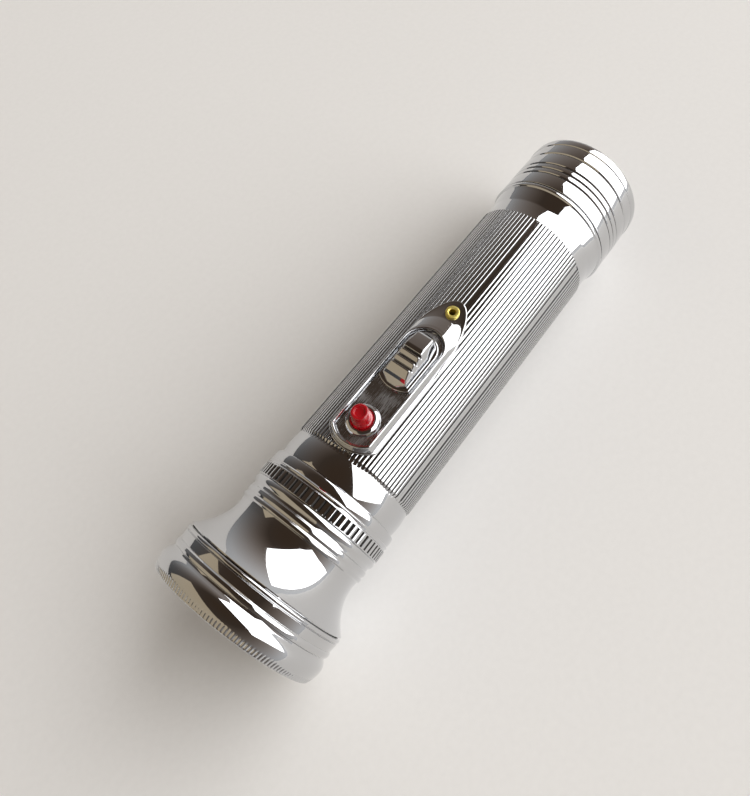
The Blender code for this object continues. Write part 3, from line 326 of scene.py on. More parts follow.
def partly(piece, material, found):
    """Give a second finish to a piece's faces where found(angle, radius, height, point) is true."""
    piece.data.materials.append(material)
    upright = LAID.inverted()
    for face in piece.data.polygons:
        middle = upright @ face.center
        radius = math.hypot(middle.x, middle.y) / FIT
        if found(math.atan2(middle.y, middle.x), radius, middle.z, middle):
            face.material_index = 1


OUTSIDE = 19.0                          # bore and spigot lie within this radius
GROOVE_SHADE_FROM = 0.12                       # depth at which the painted groove shade begins


def reed_groove(angle, radius, height, point):
    """Whether a place is down in a fine groove, though not where a reed is left out."""
    return radius > OUTSIDE and GROOVE_SHADE_FROM < reeds(angle, REED_TOP, height) < REED_DEPTH


# The deep faces of the reeds' grooves get the painted shade.
partly(barrel, groove_shade_and_grime, reed_groove)

# STRIP INSULATOR, CONTACT STRIP AND RIVET
# A strip of vulcanised fibre lies against the bore under the switch. A springy strip of brass is
# riveted to it, and leads from the switch to the bulb's socket.


def finish_solid(name, material):
    """Give its finish to a solid of the frame that is shown as it is."""
    solid = frame["nodes"][name]
    solid.data.materials.clear()
    solid.data.materials.append(material)


# Vulcanised fibre: red-brown and matt, with a felted mottle of 0.8 mm.
fibre, tree, shader, place = new_finish("vulcanised_fibre")
felt = add(tree, "TexNoise", {"Scale": 1 / (0.8 * MM), "Detail": 6.0}, {"Vector": place})
brown = add(tree, "ValToRGB", links={"Fac": felt.outputs["Fac"]})
brown.color_ramp.elements[0].color = linear("#5A2A1E")
brown.color_ramp.elements[1].color = linear("#7C3F2C")
tree.links.new(brown.outputs["Color"], shader.inputs["Base Color"])
shader.inputs["Roughness"].default_value = 0.75
finish_solid("strip_insulator", fibre)

# Bare drawn brass: warm yellow with a soft shine, slightly browned in 3 mm patches by handling.
brass, tree, shader, place = new_finish("bare_drawn_brass")
shader.inputs["Metallic"].default_value = 1.0
tarnish = add(tree, "TexNoise", {"Scale": 1 / (3 * MM), "Detail": 3.0}, {"Vector": place})
tone = add(tree, "ValToRGB", links={"Fac": tarnish.outputs["Fac"]})
tone.color_ramp.elements[0].color = linear("#EBD05C")
tone.color_ramp.elements[1].color = linear("#FAEE9A")
tree.links.new(tone.outputs["Color"], shader.inputs["Base Color"])
dull = add(tree, "MapRange", {"To Min": 0.34, "To Max": 0.5}, {"Value": tarnish.outputs["Fac"]})
tree.links.new(dull.outputs["Result"], shader.inputs["Roughness"])
finish_solid("contact_strip", brass)
finish_solid("strip_rivet", brass)

# SWITCH PLATE
# A pressing of chrome-plated brass sheet, bent to the barrel: a thin flange with a tongue behind,
# and a walled tray that slopes down to the tongue. The walls turn over a rounded rim and down to a
# flat floor.
TRAY_FLOOR = 20.5
TONGUE_BEND = 45.0                      # radius that the tongue is bent to
TONGUE_FROM = 88.0                      # where the plate begins to flatten towards the tongue
TONGUE_RUN = 8.0                        # length over which it does


def bullet(rear, front, half, tail, nose, corner):
    """A plan of (along, side) points: elliptic tail, straight sides, round corners, nose arc."""
    centre = front - nose
    turn_at = centre + math.sqrt((nose - corner) ** 2 - (half - corner) ** 2)
    meet = math.atan2(half - corner, turn_at - centre)
    spread = [i / 20 for i in range(21)]
    tail_turn = [t * math.pi / 2 for t in spread]
    upper = [(rear + tail * (1 - math.cos(a)), half * math.sin(a)) for a in tail_turn]
    upper += [(rear + tail + (turn_at - rear - tail) * t, half) for t in spread[1:-1]]
    bend = [math.pi / 2 + (meet - math.pi / 2) * i / 6 for i in range(7)]
    upper += [(turn_at + corner * math.cos(a), half - corner + corner * math.sin(a)) for a in bend]
    nose_turn = [meet * (1 - t) for t in spread[1:]]
    upper += [(centre + nose * math.cos(a), nose * math.sin(a)) for a in nose_turn]
    return upper + [(along, -side) for along, side in reversed(upper[1:-1])]


def lofted(name, loops, sharp):
    """A closed skin over loops of points, each with the same count, capped at both ends."""
    skin = bmesh.new()
    rows = [[skin.verts.new(point) for point in loop] for loop in loops]
    for low, high in zip(rows, rows[1:]):
        for i in range(len(low)):
            after = (i + 1) % len(low)
            skin.faces.new((low[i], low[after], high[after], high[i]))
    skin.faces.new(rows[0])
    skin.faces.new(rows[-1])
    return as_piece(skin, name, sharp)


def bent(outline, radius):
    """A plan laid on the round of the barrel at a radius."""
    return [(math.sqrt(radius ** 2 - side ** 2), side, along) for along, side in outline]


def tongue(outline, radius):
    """A plan laid on the barrel's round, but left nearly flat towards the plate's rear end."""
    points = []
    for height, side, along in bent(outline, radius):
        share = min(1.0, max(0.0, (TONGUE_FROM - along) / TONGUE_RUN))
        levelled = radius - TONGUE_BEND + math.sqrt(TONGUE_BEND ** 2 - side ** 2)
        points.append((height + (levelled - height) * share, side, along))
    return points


def flat(outline, height):
    """A plan laid at one height over the torch's axis."""
    return [(height, side, along) for along, side in outline]


def between(low, high, share):
    """A loop part of the way from one loop to another."""
    return [tuple(Vector(a).lerp(Vector(b), share)) for a, b in zip(low, high)]


def flange(inset):
    """The plate's outline, drawn in by so much."""
    return bullet(
        rear=70.5 + inset,
        front=122.8 - inset,
        half=7.8 - inset,
        tail=21.5 - inset,
        nose=9.7 - inset,
        corner=0.9 - inset / 2,
    )


def tray(inset):
    """The recess's outline, drawn in by so much, or out where it is negative."""
    return bullet(
        rear=82.6 + inset,
        front=121.3 - inset,
        half=5.8 - inset,
        tail=5.8 - inset,
        nose=8.2 - inset,
        corner=0.7,
    )


foot_plan = bullet(rear=77.3, front=122.42, half=6.95, tail=6.95, nose=9.3, corner=0.9)
brow_plan = bullet(rear=81.6, front=121.8, half=6.3, tail=6.3, nose=8.7, corner=0.8)
under_plan = bullet(rear=77.9, front=122.1, half=6.6, tail=6.6, nose=8.9, corner=0.8)
foot = tongue(foot_plan, 20.34)
brow = flat(brow_plan, 21.42)
plate_loops = [
    flat(tray(2.4), 20.05),
    flat(tray(0.9), 20.05),
    flat(tray(0.35), 20.9),
    bent(under_plan, 19.95),
    bent(flange(0.35), 19.72),
    bent(flange(0.0), 19.85),
    tongue(flange(0.0), 20.15),
    tongue(flange(0.06), 20.28),
    tongue(flange(0.2), 20.34),
    tongue(flange(0.36), 20.345),
    foot,
    between(foot, brow, 0.1),
    between(foot, brow, 0.5),
    between(foot, brow, 0.9),
    brow,
    flat(tray(-0.36), 21.53),
    flat(tray(-0.2), 21.59),
    flat(tray(-0.05), 21.58),
    flat(tray(0.08), 21.5),
    flat(tray(0.14), 21.35),
    flat(tray(0.16), 20.8),
    flat(tray(0.22), 20.6),
    flat(tray(0.38), TRAY_FLOOR + 0.01),
    flat(tray(0.7), TRAY_FLOOR),
    flat(tray(2.4), TRAY_FLOOR),
]
switch_plate = lofted("switch_plate_pressing", plate_loops, sharp=50)
pierced(switch_plate)
dressed(switch_plate, chrome, "barrel", "switch_plate")

# The same chrome where the slide has rubbed it: dulled by fine scratches along the way that it
# moves, and smeared every 5 mm. The scratches are drawn 0.15 mm apart, coarser than real ones, so
# that they show.
rubbed, tree, shader, place = new_finish("rubbed_chrome_plate")
shader.inputs["Base Color"].default_value = linear(CHROMIUM)
shader.inputs["Metallic"].default_value = 1.0
rub_lines = {"Scale": (1 / (4 * MM), 1 / (0.15 * MM), 1 / (0.15 * MM))}
rub_place = add(tree, "Mapping", rub_lines, {"Vector": place}).outputs["Vector"]
rubs = add(tree, "TexNoise", {"Scale": 1.0, "Detail": 3.0}, {"Vector": rub_place})
smears = add(tree, "TexNoise", {"Scale": 1 / (5 * MM), "Detail": 3.0}, {"Vector": place})
lines_and_smears = {0: rubs.outputs["Fac"], 1: smears.outputs["Fac"]}
marks = add(tree, "Math", links=lines_and_smears, operation="MULTIPLY")
matt = {"From Min": 0.12, "From Max": 0.4, "To Min": 0.08, "To Max": 0.42}
dulled = add(tree, "MapRange", matt, {"Value": marks.outputs["Value"]})
tree.links.new(dulled.outputs["Result"], shader.inputs["Roughness"])

FLOOR_ROOM = 0.005                      # how far a face on the floor may be from its height


def tray_floor(angle, radius, height, point):
    """Whether a place is on the floor of the plate's tray."""
    return abs(point.x - TRAY_FLOOR) < FLOOR_ROOM


partly(switch_plate, rubbed, tray_floor)

# PLATE EYELET
# A small brass eyelet, left bare, that holds the plate's tongue and the insulator to the barrel.
# Its mouth is rolled over into a ring by the setting tool.
ON_TOP = Matrix.Rotation(math.pi / 2, 4, "Y")
ON_TONGUE = Matrix.Translation((0, 0, EYELET_AT)) @ ON_TOP
eyelet_line = rounded([
    (0.97, 17.0, 0),
    (1.42, 17.0, 0.05),
    (1.42, 20.4, 0.05),
    (2.03, 20.4, 0.2),
    (2.03, 20.95, 0.4),
    (0.97, 20.95, 0.45),
    (0.97, 17.0, 0),
], steps=8)[:-1]
eyelet = turned("eyelet_ring", eyelet_line, steps=64, way=ON_TONGUE)
dressed(eyelet, brass, "barrel", "plate_eyelet")

# THUMB SLIDE AND CLIP
# The sliding switch knob, pressed in one piece from plated sheet: a smooth dome behind for the
# thumb, two ribs and a block in front, on a base that runs in the tray. Its tab holds a brass clip
# under the slot.
GRIP_REAR = 85.3
GRIP_FRONT = 102.2
GRIP_FOOT = 20.95
GRIP_NOSE = 7.6
FOOT_HALF = 4.3
TOP_HALF = 2.75
TOP_TAIL = 3.9
DOME_TOP = 25.9
grip_line = rounded([
    (85.32, 21.3, 0),
    (85.4, 23.2, 1.2),
    (86.7, 24.9, 1.4),
    (91.2, DOME_TOP, 1.6),
    (92.4, 25.8, 0.3),
    (92.65, 24.5, 0.2),
    (93.0, 24.5, 0.2),
    (93.15, 25.75, 0.35),
    (94.5, 24.9, 0.35),
    (94.8, 24.2, 0.2),
    (95.15, 24.2, 0.2),
    (95.3, 25.55, 0.35),
    (96.65, 24.7, 0.35),
    (96.95, 24.0, 0.2),
    (97.3, 24.0, 0.2),
    (97.5, 25.35, 0.35),
    (99.9, 23.95, 0.6),
    (100.6, 22.9, 0.9),
    (102.1, 21.75, 0.3),
    (102.15, 21.3, 0),
], steps=6)


def grip_half(along, half, tail):
    """Half the grip's width at one level: straight sides, round behind, a shallow arc in front."""
    behind = max(0.0, GRIP_REAR + tail - along) / tail
    ahead = max(0.0, along - GRIP_FRONT + GRIP_NOSE)
    round_tail = half * math.sqrt(max(0.005, 1 - behind ** 2))
    nose_arc = math.sqrt(max(0.02, GRIP_NOSE ** 2 - ahead ** 2))
    return min(round_tail, nose_arc, half)


grip_loops = []
for along, height in grip_line:
    at_foot = grip_half(along, FOOT_HALF, FOOT_HALF)
    at_top = min(at_foot, grip_half(along, TOP_HALF, TOP_TAIL))
    share = (height - GRIP_FOOT) / (DOME_TOP - GRIP_FOOT)
    at_level = at_foot + (at_top - at_foot) * share
    edge = min(0.55, at_level * 0.45, (height - GRIP_FOOT) * 0.4)
    corners = [
        (-at_foot, GRIP_FOOT, 0),
        (-at_level, height, edge),
        (at_level, height, edge),
        (at_foot, GRIP_FOOT, 0),
    ]
    grip_loops.append([(level, side, along) for side, level in rounded(corners, steps=6)])
thumb_slide = lofted("thumb_slide_knob", grip_loops, sharp=40)


def slide_base(inset):
    """The outline of the slide's base, drawn in by so much."""
    return bullet(
        rear=84.7 + inset,
        front=103.0 - inset,
        half=4.9 - inset,
        tail=4.9 - inset,
        nose=8.2 - inset,
        corner=0.5,
    )


base_edge = ((0.1, 20.8), (0.0, 20.9), (0.0, 21.25), (0.05, 21.4), (0.18, 21.48), (0.4, 21.5))
base_loops = [flat(slide_base(inset), height) for inset, height in base_edge]
shaped(thumb_slide, lofted("slide_base", base_loops, sharp=45), "UNION")
TAB_PLAN = [(91.35, -1.2), (96.35, -1.2), (96.35, 1.2), (91.35, 1.2)]
TAB_FOOT = 17.5
TAB_TOP = 21.2
shaped(thumb_slide, prism(TAB_PLAN, TAB_FOOT, TAB_TOP), "UNION")
dressed(thumb_slide, chrome, "thumb_slide", "thumb_slide")
finish_solid("slide_clip", brass)

# BUTTON FERRULE
# A turned, domed and plated boss of brass that guides the button. Its sleeve passes through plate
# and barrel, and is spun over inside to hold the button's spring.
ON_BUTTON = Matrix.Translation((0, 0, BUTTON_AT)) @ ON_TOP
ferrule_line = rounded([
    (2.62, 17.5, 0),
    (3.88, 17.5, 0.1),
    (3.88, 20.55, 0.05),
    (4.63, 20.55, 0.1),
    (4.63, 20.95, 0.3),
    (4.3, 21.55, 0.7),
    (3.6, 21.9, 0.5),
    (3.2, 21.9, 0.12),
    (3.05, 21.7, 0.1),
    (3.05, 21.1, 0.02),
    (3.48, 21.1, 0.02),
    (3.48, 17.98, 0.02),
    (2.62, 17.98, 0),
    (2.62, 17.5, 0),
], steps=6)[:-1]
ferrule = turned("ferrule_boss", ferrule_line, steps=96, way=ON_BUTTON)
dressed(ferrule, chrome, "barrel", "button_ferrule")

# BUTTON SPRING
# A short coil of tinned steel wire, wound with three turns. It stands loose in the ferrule and
# lifts the button. The real coil closes up as the button goes down; here it is drawn open, at rest.
LIFT_RADIUS = 2.72
LIFT_WIRE = 0.28
LIFT_FOOT = 18.45
LIFT_HEIGHT = 1.15
LIFT_TURN = 6 * math.pi                 # three turns


def wire(name, points, thickness, sides=8):
    """A round wire drawn along points, closed at both ends."""
    skin = bmesh.new()
    path = [Vector(point) for point in points]
    last = len(path) - 1
    ways = [(path[min(i + 1, last)] - path[max(i - 1, 0)]).normalized() for i in range(len(path))]
    out = ways[0].orthogonal().normalized()
    angles = [2 * math.pi * i / sides for i in range(sides)]
    rows = []
    for point, way in zip(path, ways):
        out = (out - way * out.dot(way)).normalized()
        across = way.cross(out)
        spokes = [out * math.cos(a) + across * math.sin(a) for a in angles]
        rows.append([skin.verts.new(point + spoke * thickness / 2) for spoke in spokes])
    for low, high in zip(rows, rows[1:]):
        for i in range(sides):
            skin.faces.new((low[i], low[(i + 1) % sides], high[(i + 1) % sides], high[i]))
    skin.faces.new(rows[0])
    skin.faces.new(rows[-1])
    return as_piece(skin, name, sharp=60)


# Tinned steel: pale grey, with a soft shine that changes from grain to grain, 1.5 mm across.
tinned, tree, shader, place = new_finish("tinned_steel")
shader.inputs["Base Color"].default_value = linear("#C9C9C4")
shader.inputs["Metallic"].default_value = 1.0
spangle = add(tree, "TexVoronoi", {"Scale": 1 / (1.5 * MM)}, {"Vector": place})
shine = {"To Min": 0.22, "To Max": 0.42}
patchy = add(tree, "MapRange", shine, {"Value": spangle.outputs["Distance"]})
tree.links.new(patchy.outputs["Result"], shader.inputs["Roughness"])

along_wire = [i / 144 for i in range(145)]
lift_points = [
    (
        LIFT_FOOT + LIFT_HEIGHT * t,
        LIFT_RADIUS * math.cos(LIFT_TURN * t),
        BUTTON_AT + LIFT_RADIUS * math.sin(LIFT_TURN * t),
    )
    for t in along_wire
]
button_spring = wire("button_spring_coil", lift_points, LIFT_WIRE)
dressed(button_spring, tinned, "barrel", "button_spring")
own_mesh(button_spring)

# SIGNAL BUTTON
# The push button for flashing, moulded in clear red styrene, slightly tapered, with a dished top
# and a flange below that keeps it in the ferrule.
button_line = rounded([
    (0.0, 20.1, 0),
    (3.18, 20.1, 0.1),
    (3.18, 20.78, 0.1),
    (2.9, 20.8, 0.02),
    (2.88, 22.0, 0.3),
    (2.28, 26.3, 0.2),
    (2.05, 26.48, 0.12),
    (1.55, 26.48, 0.12),
    (1.3, 26.05, 0.15),
    (0.5, 25.95, 0.3),
    (0.0, 25.93, 0),
], steps=6)
button = turned("button_cap", button_line, steps=72, way=ON_BUTTON)

# Clear red polystyrene: cherry red that glows where light comes through, slightly cloudy every
# 2 mm, with a hard moulded gloss.
red_styrene, tree, shader, place = new_finish("moulded_red_polystyrene")
shader.inputs["IOR"].default_value = 1.59
shader.inputs["Transmission Weight"].default_value = 0.55
shader.inputs["Coat Weight"].default_value = 0.3
cloud = add(tree, "TexNoise", {"Scale": 1 / (2 * MM), "Detail": 2.0}, {"Vector": place})
depth = add(tree, "ValToRGB", links={"Fac": cloud.outputs["Fac"]})
depth.color_ramp.elements[0].color = linear("#C80F1E")
depth.color_ramp.elements[1].color = linear("#EE2432")
tree.links.new(depth.outputs["Color"], shader.inputs["Base Color"])
scuff = add(tree, "MapRange", {"To Min": 0.06, "To Max": 0.2}, {"Value": cloud.outputs["Fac"]})
tree.links.new(scuff.outputs["Result"], shader.inputs["Roughness"])
dressed(button, red_styrene, "signal_button", "signal_button")

# CELLS
# Two D cells: steel cans in a plain jacket of film, with tinned steel terminals. They slide in from
# the tail, terminals first.

# PVC film shrunk on the can: a plain deep blue with a soft satin gloss and a faint 5 mm mottle.
film_blue, tree, shader, place = new_finish("shrunk_pvc_film")
mottled = add(tree, "TexNoise", {"Scale": 1 / (5 * MM), "Detail": 2.0}, {"Vector": place})
blue = add(tree, "ValToRGB", links={"Fac": mottled.outputs["Fac"]})
blue.color_ramp.elements[0].color = linear("#203A66")
blue.color_ramp.elements[1].color = linear("#2A4A7C")
tree.links.new(blue.outputs["Color"], shader.inputs["Base Color"])
shader.inputs["Roughness"].default_value = 0.35
for cell in ("rear_cell", "front_cell"):
    finish_solid(cell, film_blue)
    finish_solid(cell + "_terminal", tinned)

# TAIL SPRING
# A cone of tinned spring wire between the cap and the rear cell, wound with four turns. It presses
# the cells together and carries the current to the cap.
CONE_WIRE = 1.05
CONE_RADIUS = 12.9                      # at the cap
CONE_TAPER = 6.4
CONE_FOOT = 2.1
CONE_HEIGHT = 11.3
CONE_TURN = 8 * math.pi                 # four turns
spring_points = [
    (
        (CONE_RADIUS - CONE_TAPER * t) * math.cos(CONE_TURN * t),
        (CONE_RADIUS - CONE_TAPER * t) * math.sin(CONE_TURN * t),
        CONE_FOOT + CONE_HEIGHT * t,
    )
    for t in along_wire
]
tail_spring = wire("tail_spring_coil", spring_points, CONE_WIRE, sides=10)
dressed(tail_spring, tinned, "tail_spring", "tail_spring")

# TAIL CAP
# A deep-drawn and plated brass cap that screws over the barrel's end, with a full rounded rim and a
# shallow pressed panel behind. One deep groove and three fine ones are rolled in, to stiffen it and
# to give the fingers grip.
CAP_OUT = 20.36
CAP_BACK = 0.05
RIM_STEP = 0.14
DEEP_GROOVE = 0.55
FINE_GROOVE = 0.32
FINE_HALF = 0.42                        # half the width of a fine groove
CAP_BORE = 19.45
cap_corners = [
    (0.0, 0.5, 0),
    (14.3, 0.5, 0.5),
    (15.1, CAP_BACK, 0.5),
    (CAP_OUT, CAP_BACK, 2.5),
    (CAP_OUT, 3.1, 0.06),
    (CAP_OUT - 2 * RIM_STEP, 3.3, 0.06),
    (CAP_OUT - RIM_STEP, 3.5, 0.06),
    (CAP_OUT - RIM_STEP, 7.0, 0.15),
    (CAP_OUT - DEEP_GROOVE, 7.35, 0.2),
    (CAP_OUT - DEEP_GROOVE, 7.65, 0.2),
    (CAP_OUT, 8.0, 0.15),
]
for fine in (12.5, 14.6, 16.7):
    cap_corners += [
        (CAP_OUT, fine - FINE_HALF, 0.15),
        (CAP_OUT - FINE_GROOVE, fine, 0.2),
        (CAP_OUT, fine + FINE_HALF, 0.15),
    ]
cap_corners += [
    (CAP_OUT, 21.7, 0.3),
    (CAP_BORE, 21.7, 0.1),
    (CAP_BORE, 1.2, 1.6),
    (0.0, 1.2, 0),
]
tail_cap = turned("tail_cap_shell", rounded(cap_corners))
dressed(tail_cap, chrome, "tail_cap", "tail_cap")
CAP_INSIDE = 19.7                       # the cap's bore lies within this radius
DEEP_FROM = 7.1                         # heights of the parts of the grooves with painted shade
FINE_FROM = 8
FINE_TO = 17.2
DEEP_SHADE_DEPTH = 0.4                        # depths at which the painted shade begins in them
FINE_SHADE_DEPTH = 0.16


def cap_groove(angle, radius, height, point):
    """Whether a place is at the bottom of one of the cap's rolled grooves."""
    in_deep = DEEP_FROM < height < FINE_FROM and radius < CAP_OUT - DEEP_SHADE_DEPTH
    in_fine = FINE_FROM <= height < FINE_TO and radius < CAP_OUT - FINE_SHADE_DEPTH
    return radius > CAP_INSIDE and (in_deep or in_fine)


# The bottoms of the cap's grooves get the painted shade.
partly(tail_cap, groove_shade_and_grime, cap_groove)

# BULB, SOCKET AND WASHER
# A small filament bulb in a brass base and socket: a blown glass globe on a stem, with a coiled
# filament on two wire posts. Solder on the base's foot meets the cell, and a fibre washer keeps the
# socket off it.
FOCUS = 155.8
GLOBE = 5.45
GLASS_WALL = 0.93                       # inside of the globe, as a share of its outside
STEM = 4.05
STEM_INSIDE = 3.7
STEM_FOOT = 148.4
STEM_TOP = 151.6
arc = [math.radians(degrees) for degrees in range(-42, 90, 6)]
globe_out = [(GLOBE * math.cos(a), FOCUS + GLOBE * math.sin(a)) for a in arc]
globe_in = [(r * GLASS_WALL, FOCUS + (z - FOCUS) * GLASS_WALL) for r, z in globe_out]
bulb_line = [(STEM, STEM_FOOT), (STEM, STEM_TOP), *globe_out, (0.0, FOCUS + GLOBE)]
bulb_line += [(0.0, FOCUS + GLOBE * GLASS_WALL), *reversed(globe_in)]
bulb_line += [(STEM_INSIDE, STEM_TOP), (STEM_INSIDE, STEM_FOOT)]
bulb = turned("bulb_globe", bulb_line, steps=72)

# Clear soda-lime glass: no colour of its own, a sharp gloss, and a trace of wiping marks 7 mm wide.
glass, tree, shader, place = new_finish("clear_soda_lime_glass")
shader.inputs["Base Color"].default_value = linear("#F4F8F7")
shader.inputs["IOR"].default_value = 1.52
shader.inputs["Transmission Weight"].default_value = 1.0
wiped = add(tree, "TexNoise", {"Scale": 1 / (7 * MM), "Detail": 4.0}, {"Vector": place})
film_range = {"From Min": 0.5, "From Max": 0.8, "To Max": 0.05}
film = add(tree, "MapRange", film_range, {"Value": wiped.outputs["Fac"]})
tree.links.new(film.outputs["Result"], shader.inputs["Roughness"])
dressed(bulb, glass, "head", "bulb_glass")

COIL = 0.28
COIL_LENGTH = 2.2
COIL_TURN = 50                          # the whole wind, in radians
FILAMENT_WIRE = 0.12
wound = [i * 0.5 for i in range(2 * COIL_TURN + 1)]
coil_points = [
    (
        COIL * math.cos(t),
        -COIL_LENGTH / 2 + COIL_LENGTH * t / COIL_TURN,
        FOCUS + COIL * math.sin(t),
    )
    for t in wound
]
post_points = [(0.4, 1.5, 148.2), (0.2, 1.3, 153.0), (0.1, 1.15, FOCUS - 0.2)]
near_post = [(x, -y, z) for x, y, z in post_points]
filament_points = near_post + coil_points + list(reversed(post_points))
filament = wire("bulb_filament", filament_points, FILAMENT_WIRE, sides=6)

# Drawn tungsten wire: a dark grey metal with a fine dull grain of 0.4 mm.
tungsten, tree, shader, place = new_finish("drawn_tungsten_wire")
shader.inputs["Metallic"].default_value = 1.0
drawn = add(tree, "TexNoise", {"Scale": 1 / (0.4 * MM), "Detail": 2.0}, {"Vector": place})
greys = add(tree, "ValToRGB", links={"Fac": drawn.outputs["Fac"]})
greys.color_ramp.elements[0].color = linear("#5E5D5C")
greys.color_ramp.elements[1].color = linear("#86857F")
tree.links.new(greys.outputs["Color"], shader.inputs["Base Color"])
shader.inputs["Roughness"].default_value = 0.45
filament.data.materials.append(tungsten)
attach(filament, "head")

# Dull tin-lead solder: grey and soft in gloss, with lumps about 1.2 mm across.
solder, tree, shader, place = new_finish("tin_solder")
shader.inputs["Base Color"].default_value = linear("#A9ABAE")
shader.inputs["Metallic"].default_value = 1.0
lumps = add(tree, "TexNoise", {"Scale": 1 / (1.2 * MM), "Detail": 2.0}, {"Vector": place})
gloss = add(tree, "MapRange", {"To Min": 0.3, "To Max": 0.55}, {"Value": lumps.outputs["Fac"]})
tree.links.new(gloss.outputs["Result"], shader.inputs["Roughness"])
finish_solid("bulb_base", brass)
finish_solid("bulb_contact", solder)
finish_solid("bulb_socket", brass)
finish_solid("insulating_washer", fibre)

# HEAD SHELL
# The drawn and plated brass head that screws over the barrel's neck: a smooth ring, a milled band
# for the fingers, two beads and a bell that flares to the bezel. Its front end carries the bezel's
# thread.
BAND_OUT = 20.3
BAND_FROM = 135.6
BAND_TO = 138.75
BAND_TEETH = 68
STEPS_IN_TOOTH = 10
MILLED_FROM = 20.0                      # the milling works on metal outside this radius
TOOTH_DEPTH = 0.4
TOOTH_CROWN = 0.2
GAP_EDGE = 0.2                          # where a tooth's side begins, in pitches from the gap
BELL_NECK = 19.12
BELL_FLARE = 5.6
BELL_FROM = 147.4
BELL_LENGTH = 11.6
BELL_CURVE = 2.15                       # power of the flare
BELL_WALL = 0.75
HEAD_BORE = 19.45


def milled_band(angle, radius, height):
    """How deep the milling of the finger band is: slightly crowned teeth with sharp gaps."""
    if radius < MILLED_FROM or not BAND_FROM < height < BAND_TO:
        return 0.0
    from_gap = abs((angle / (2 * math.pi) * BAND_TEETH + 0.5) % 1 - 0.5)
    crown = TOOTH_CROWN * (1 - 2 * max(from_gap, GAP_EDGE)) ** 2
    return crown + (TOOTH_DEPTH - crown) * max(0.0, 1 - from_gap / GAP_EDGE) ** 0.6


spread = [i / 16 for i in range(17)]
bell = [(BELL_NECK + BELL_FLARE * t ** BELL_CURVE, BELL_FROM + BELL_LENGTH * t, 0) for t in spread]
ring = swelling(edge=20.0, bulge=0.14, middle=132.65, half=1.25, steps=4)
bead = swelling(edge=19.95, bulge=0.25, middle=140.1, half=0.9, steps=4)
head_corners = [
    (HEAD_BORE, 131.3, 0),
    (19.95, 131.3, 0.05),
    *ring,
    (20.32, 134.3, 0.2),
    (20.1, 134.6, 0.15),
    (20.05, 135.1, 0.1),
    (BAND_OUT, 135.3, 0.15),
    (BAND_OUT, 135.55, 0.05),
    (BAND_OUT, 135.65, 0.05),
    (BAND_OUT, 135.9, 0.05),
    (BAND_OUT, 138.45, 0.05),
    (BAND_OUT, 138.7, 0.05),
    (BAND_OUT, 138.8, 0.05),
    (BAND_OUT, 139.0, 0.2),
    *bead,
    (19.5, 141.5, 0.4),
    (19.5, 142.3, 0.4),
    (19.8, 142.6, 0.4),
    (19.85, 143.6, 0.5),
    (19.5, 144.25, 0.15),
    (19.8, 144.7, 0.5),
    (19.8, 145.5, 0.5),
    (19.3, 145.95, 0.2),
    *bell,
    (24.65, 159.15, 0.05),
    (23.6, 159.2, 0.02),
    (23.6, 166.8, 0.1),
    (22.95, 166.8, 0.1),
    (22.95, 159.4, 0.8),
    *[(r - BELL_WALL, z, 0) for r, z, rounding in reversed(bell[1:-1:3])],
    (18.75, 145.5, 0.3),
    (18.8, 141.2, 0.3),
    (HEAD_BORE, 140.4, 0.2),
]
head_line = rounded(head_corners, steps=4)
head = turned("head_bell", head_line, steps=STEPS_IN_TOOTH * BAND_TEETH, relief=milled_band)
dressed(head, chrome, "head", "head_shell")
GAP_SHADE_DEPTH = 0.2                         # depth at which painted shade begins between the teeth
OUTSIDE_BORE = 19.5                     # the head's bore lies within this radius


def band_groove(angle, radius, height, point):
    """Whether a place is down between two teeth of the finger band."""
    return radius > OUTSIDE_BORE and milled_band(angle, BAND_OUT, height) > GAP_SHADE_DEPTH


# The gaps between the band's teeth get the painted shade.
partly(head, groove_shade_and_grime, band_groove)

# REFLECTOR
# A dish spun from brass sheet and silvered inside. It sits in the mouth of the head with the bulb's
# globe at its focus, and its flat rim carries gasket and lens.
RIM_AT = 167.9
MIRROR_HALF = 21.9
DISH_MOUTH = 5.9
DISH_BACK = 143.3
DISH_WALL = 0.6
focal = (math.hypot(RIM_AT - FOCUS, MIRROR_HALF) - (RIM_AT - FOCUS)) / 2
dish = [DISH_MOUTH + (MIRROR_HALF - DISH_MOUTH) * i / 24 for i in range(25)]
dish_line = [(r, FOCUS - focal + r ** 2 / (4 * focal)) for r in dish]
reflector_line = [(DISH_MOUTH + DISH_WALL, DISH_BACK)]
reflector_line += [(r + DISH_WALL, z) for r, z in dish_line[:-3]]
reflector_line += [(22.5, 167.25), (23.35, 167.25), (23.35, RIM_AT), (22.1, RIM_AT)]
reflector_line += [*reversed(dish_line), (DISH_MOUTH, DISH_BACK)]
reflector = turned("reflector_dish", reflector_line, steps=160)

# Silvered brass: a mirror a little softer than chrome, faintly clouded every 4 mm.
silver, tree, shader, place = new_finish("spun_silvered_brass")
shader.inputs["Base Color"].default_value = linear("#E4E2DC")
shader.inputs["Metallic"].default_value = 1.0
clouding = add(tree, "TexNoise", {"Scale": 1 / (4 * MM), "Detail": 3.0}, {"Vector": place})
mirror_range = {"To Min": 0.04, "To Max": 0.14}
softness = add(tree, "MapRange", mirror_range, {"Value": clouding.outputs["Fac"]})
tree.links.new(softness.outputs["Result"], shader.inputs["Roughness"])
dressed(reflector, silver, "head", "reflector")

# LENS AND GASKET
# A flat disc of clear window glass, ground at its edge, held under the bezel's lip. A ring punched
# from black rubber sheet lies between it and the reflector's rim.
lens_line = rounded([
    (0.0, 169.3, 0),
    (23.4, 169.3, 0.2),
    (23.4, 171.0, 0.2),
    (0.0, 171.0, 0),
])
lens = turned("lens_disc", lens_line, steps=128)
dressed(lens, glass, "lens", "lens_glass")

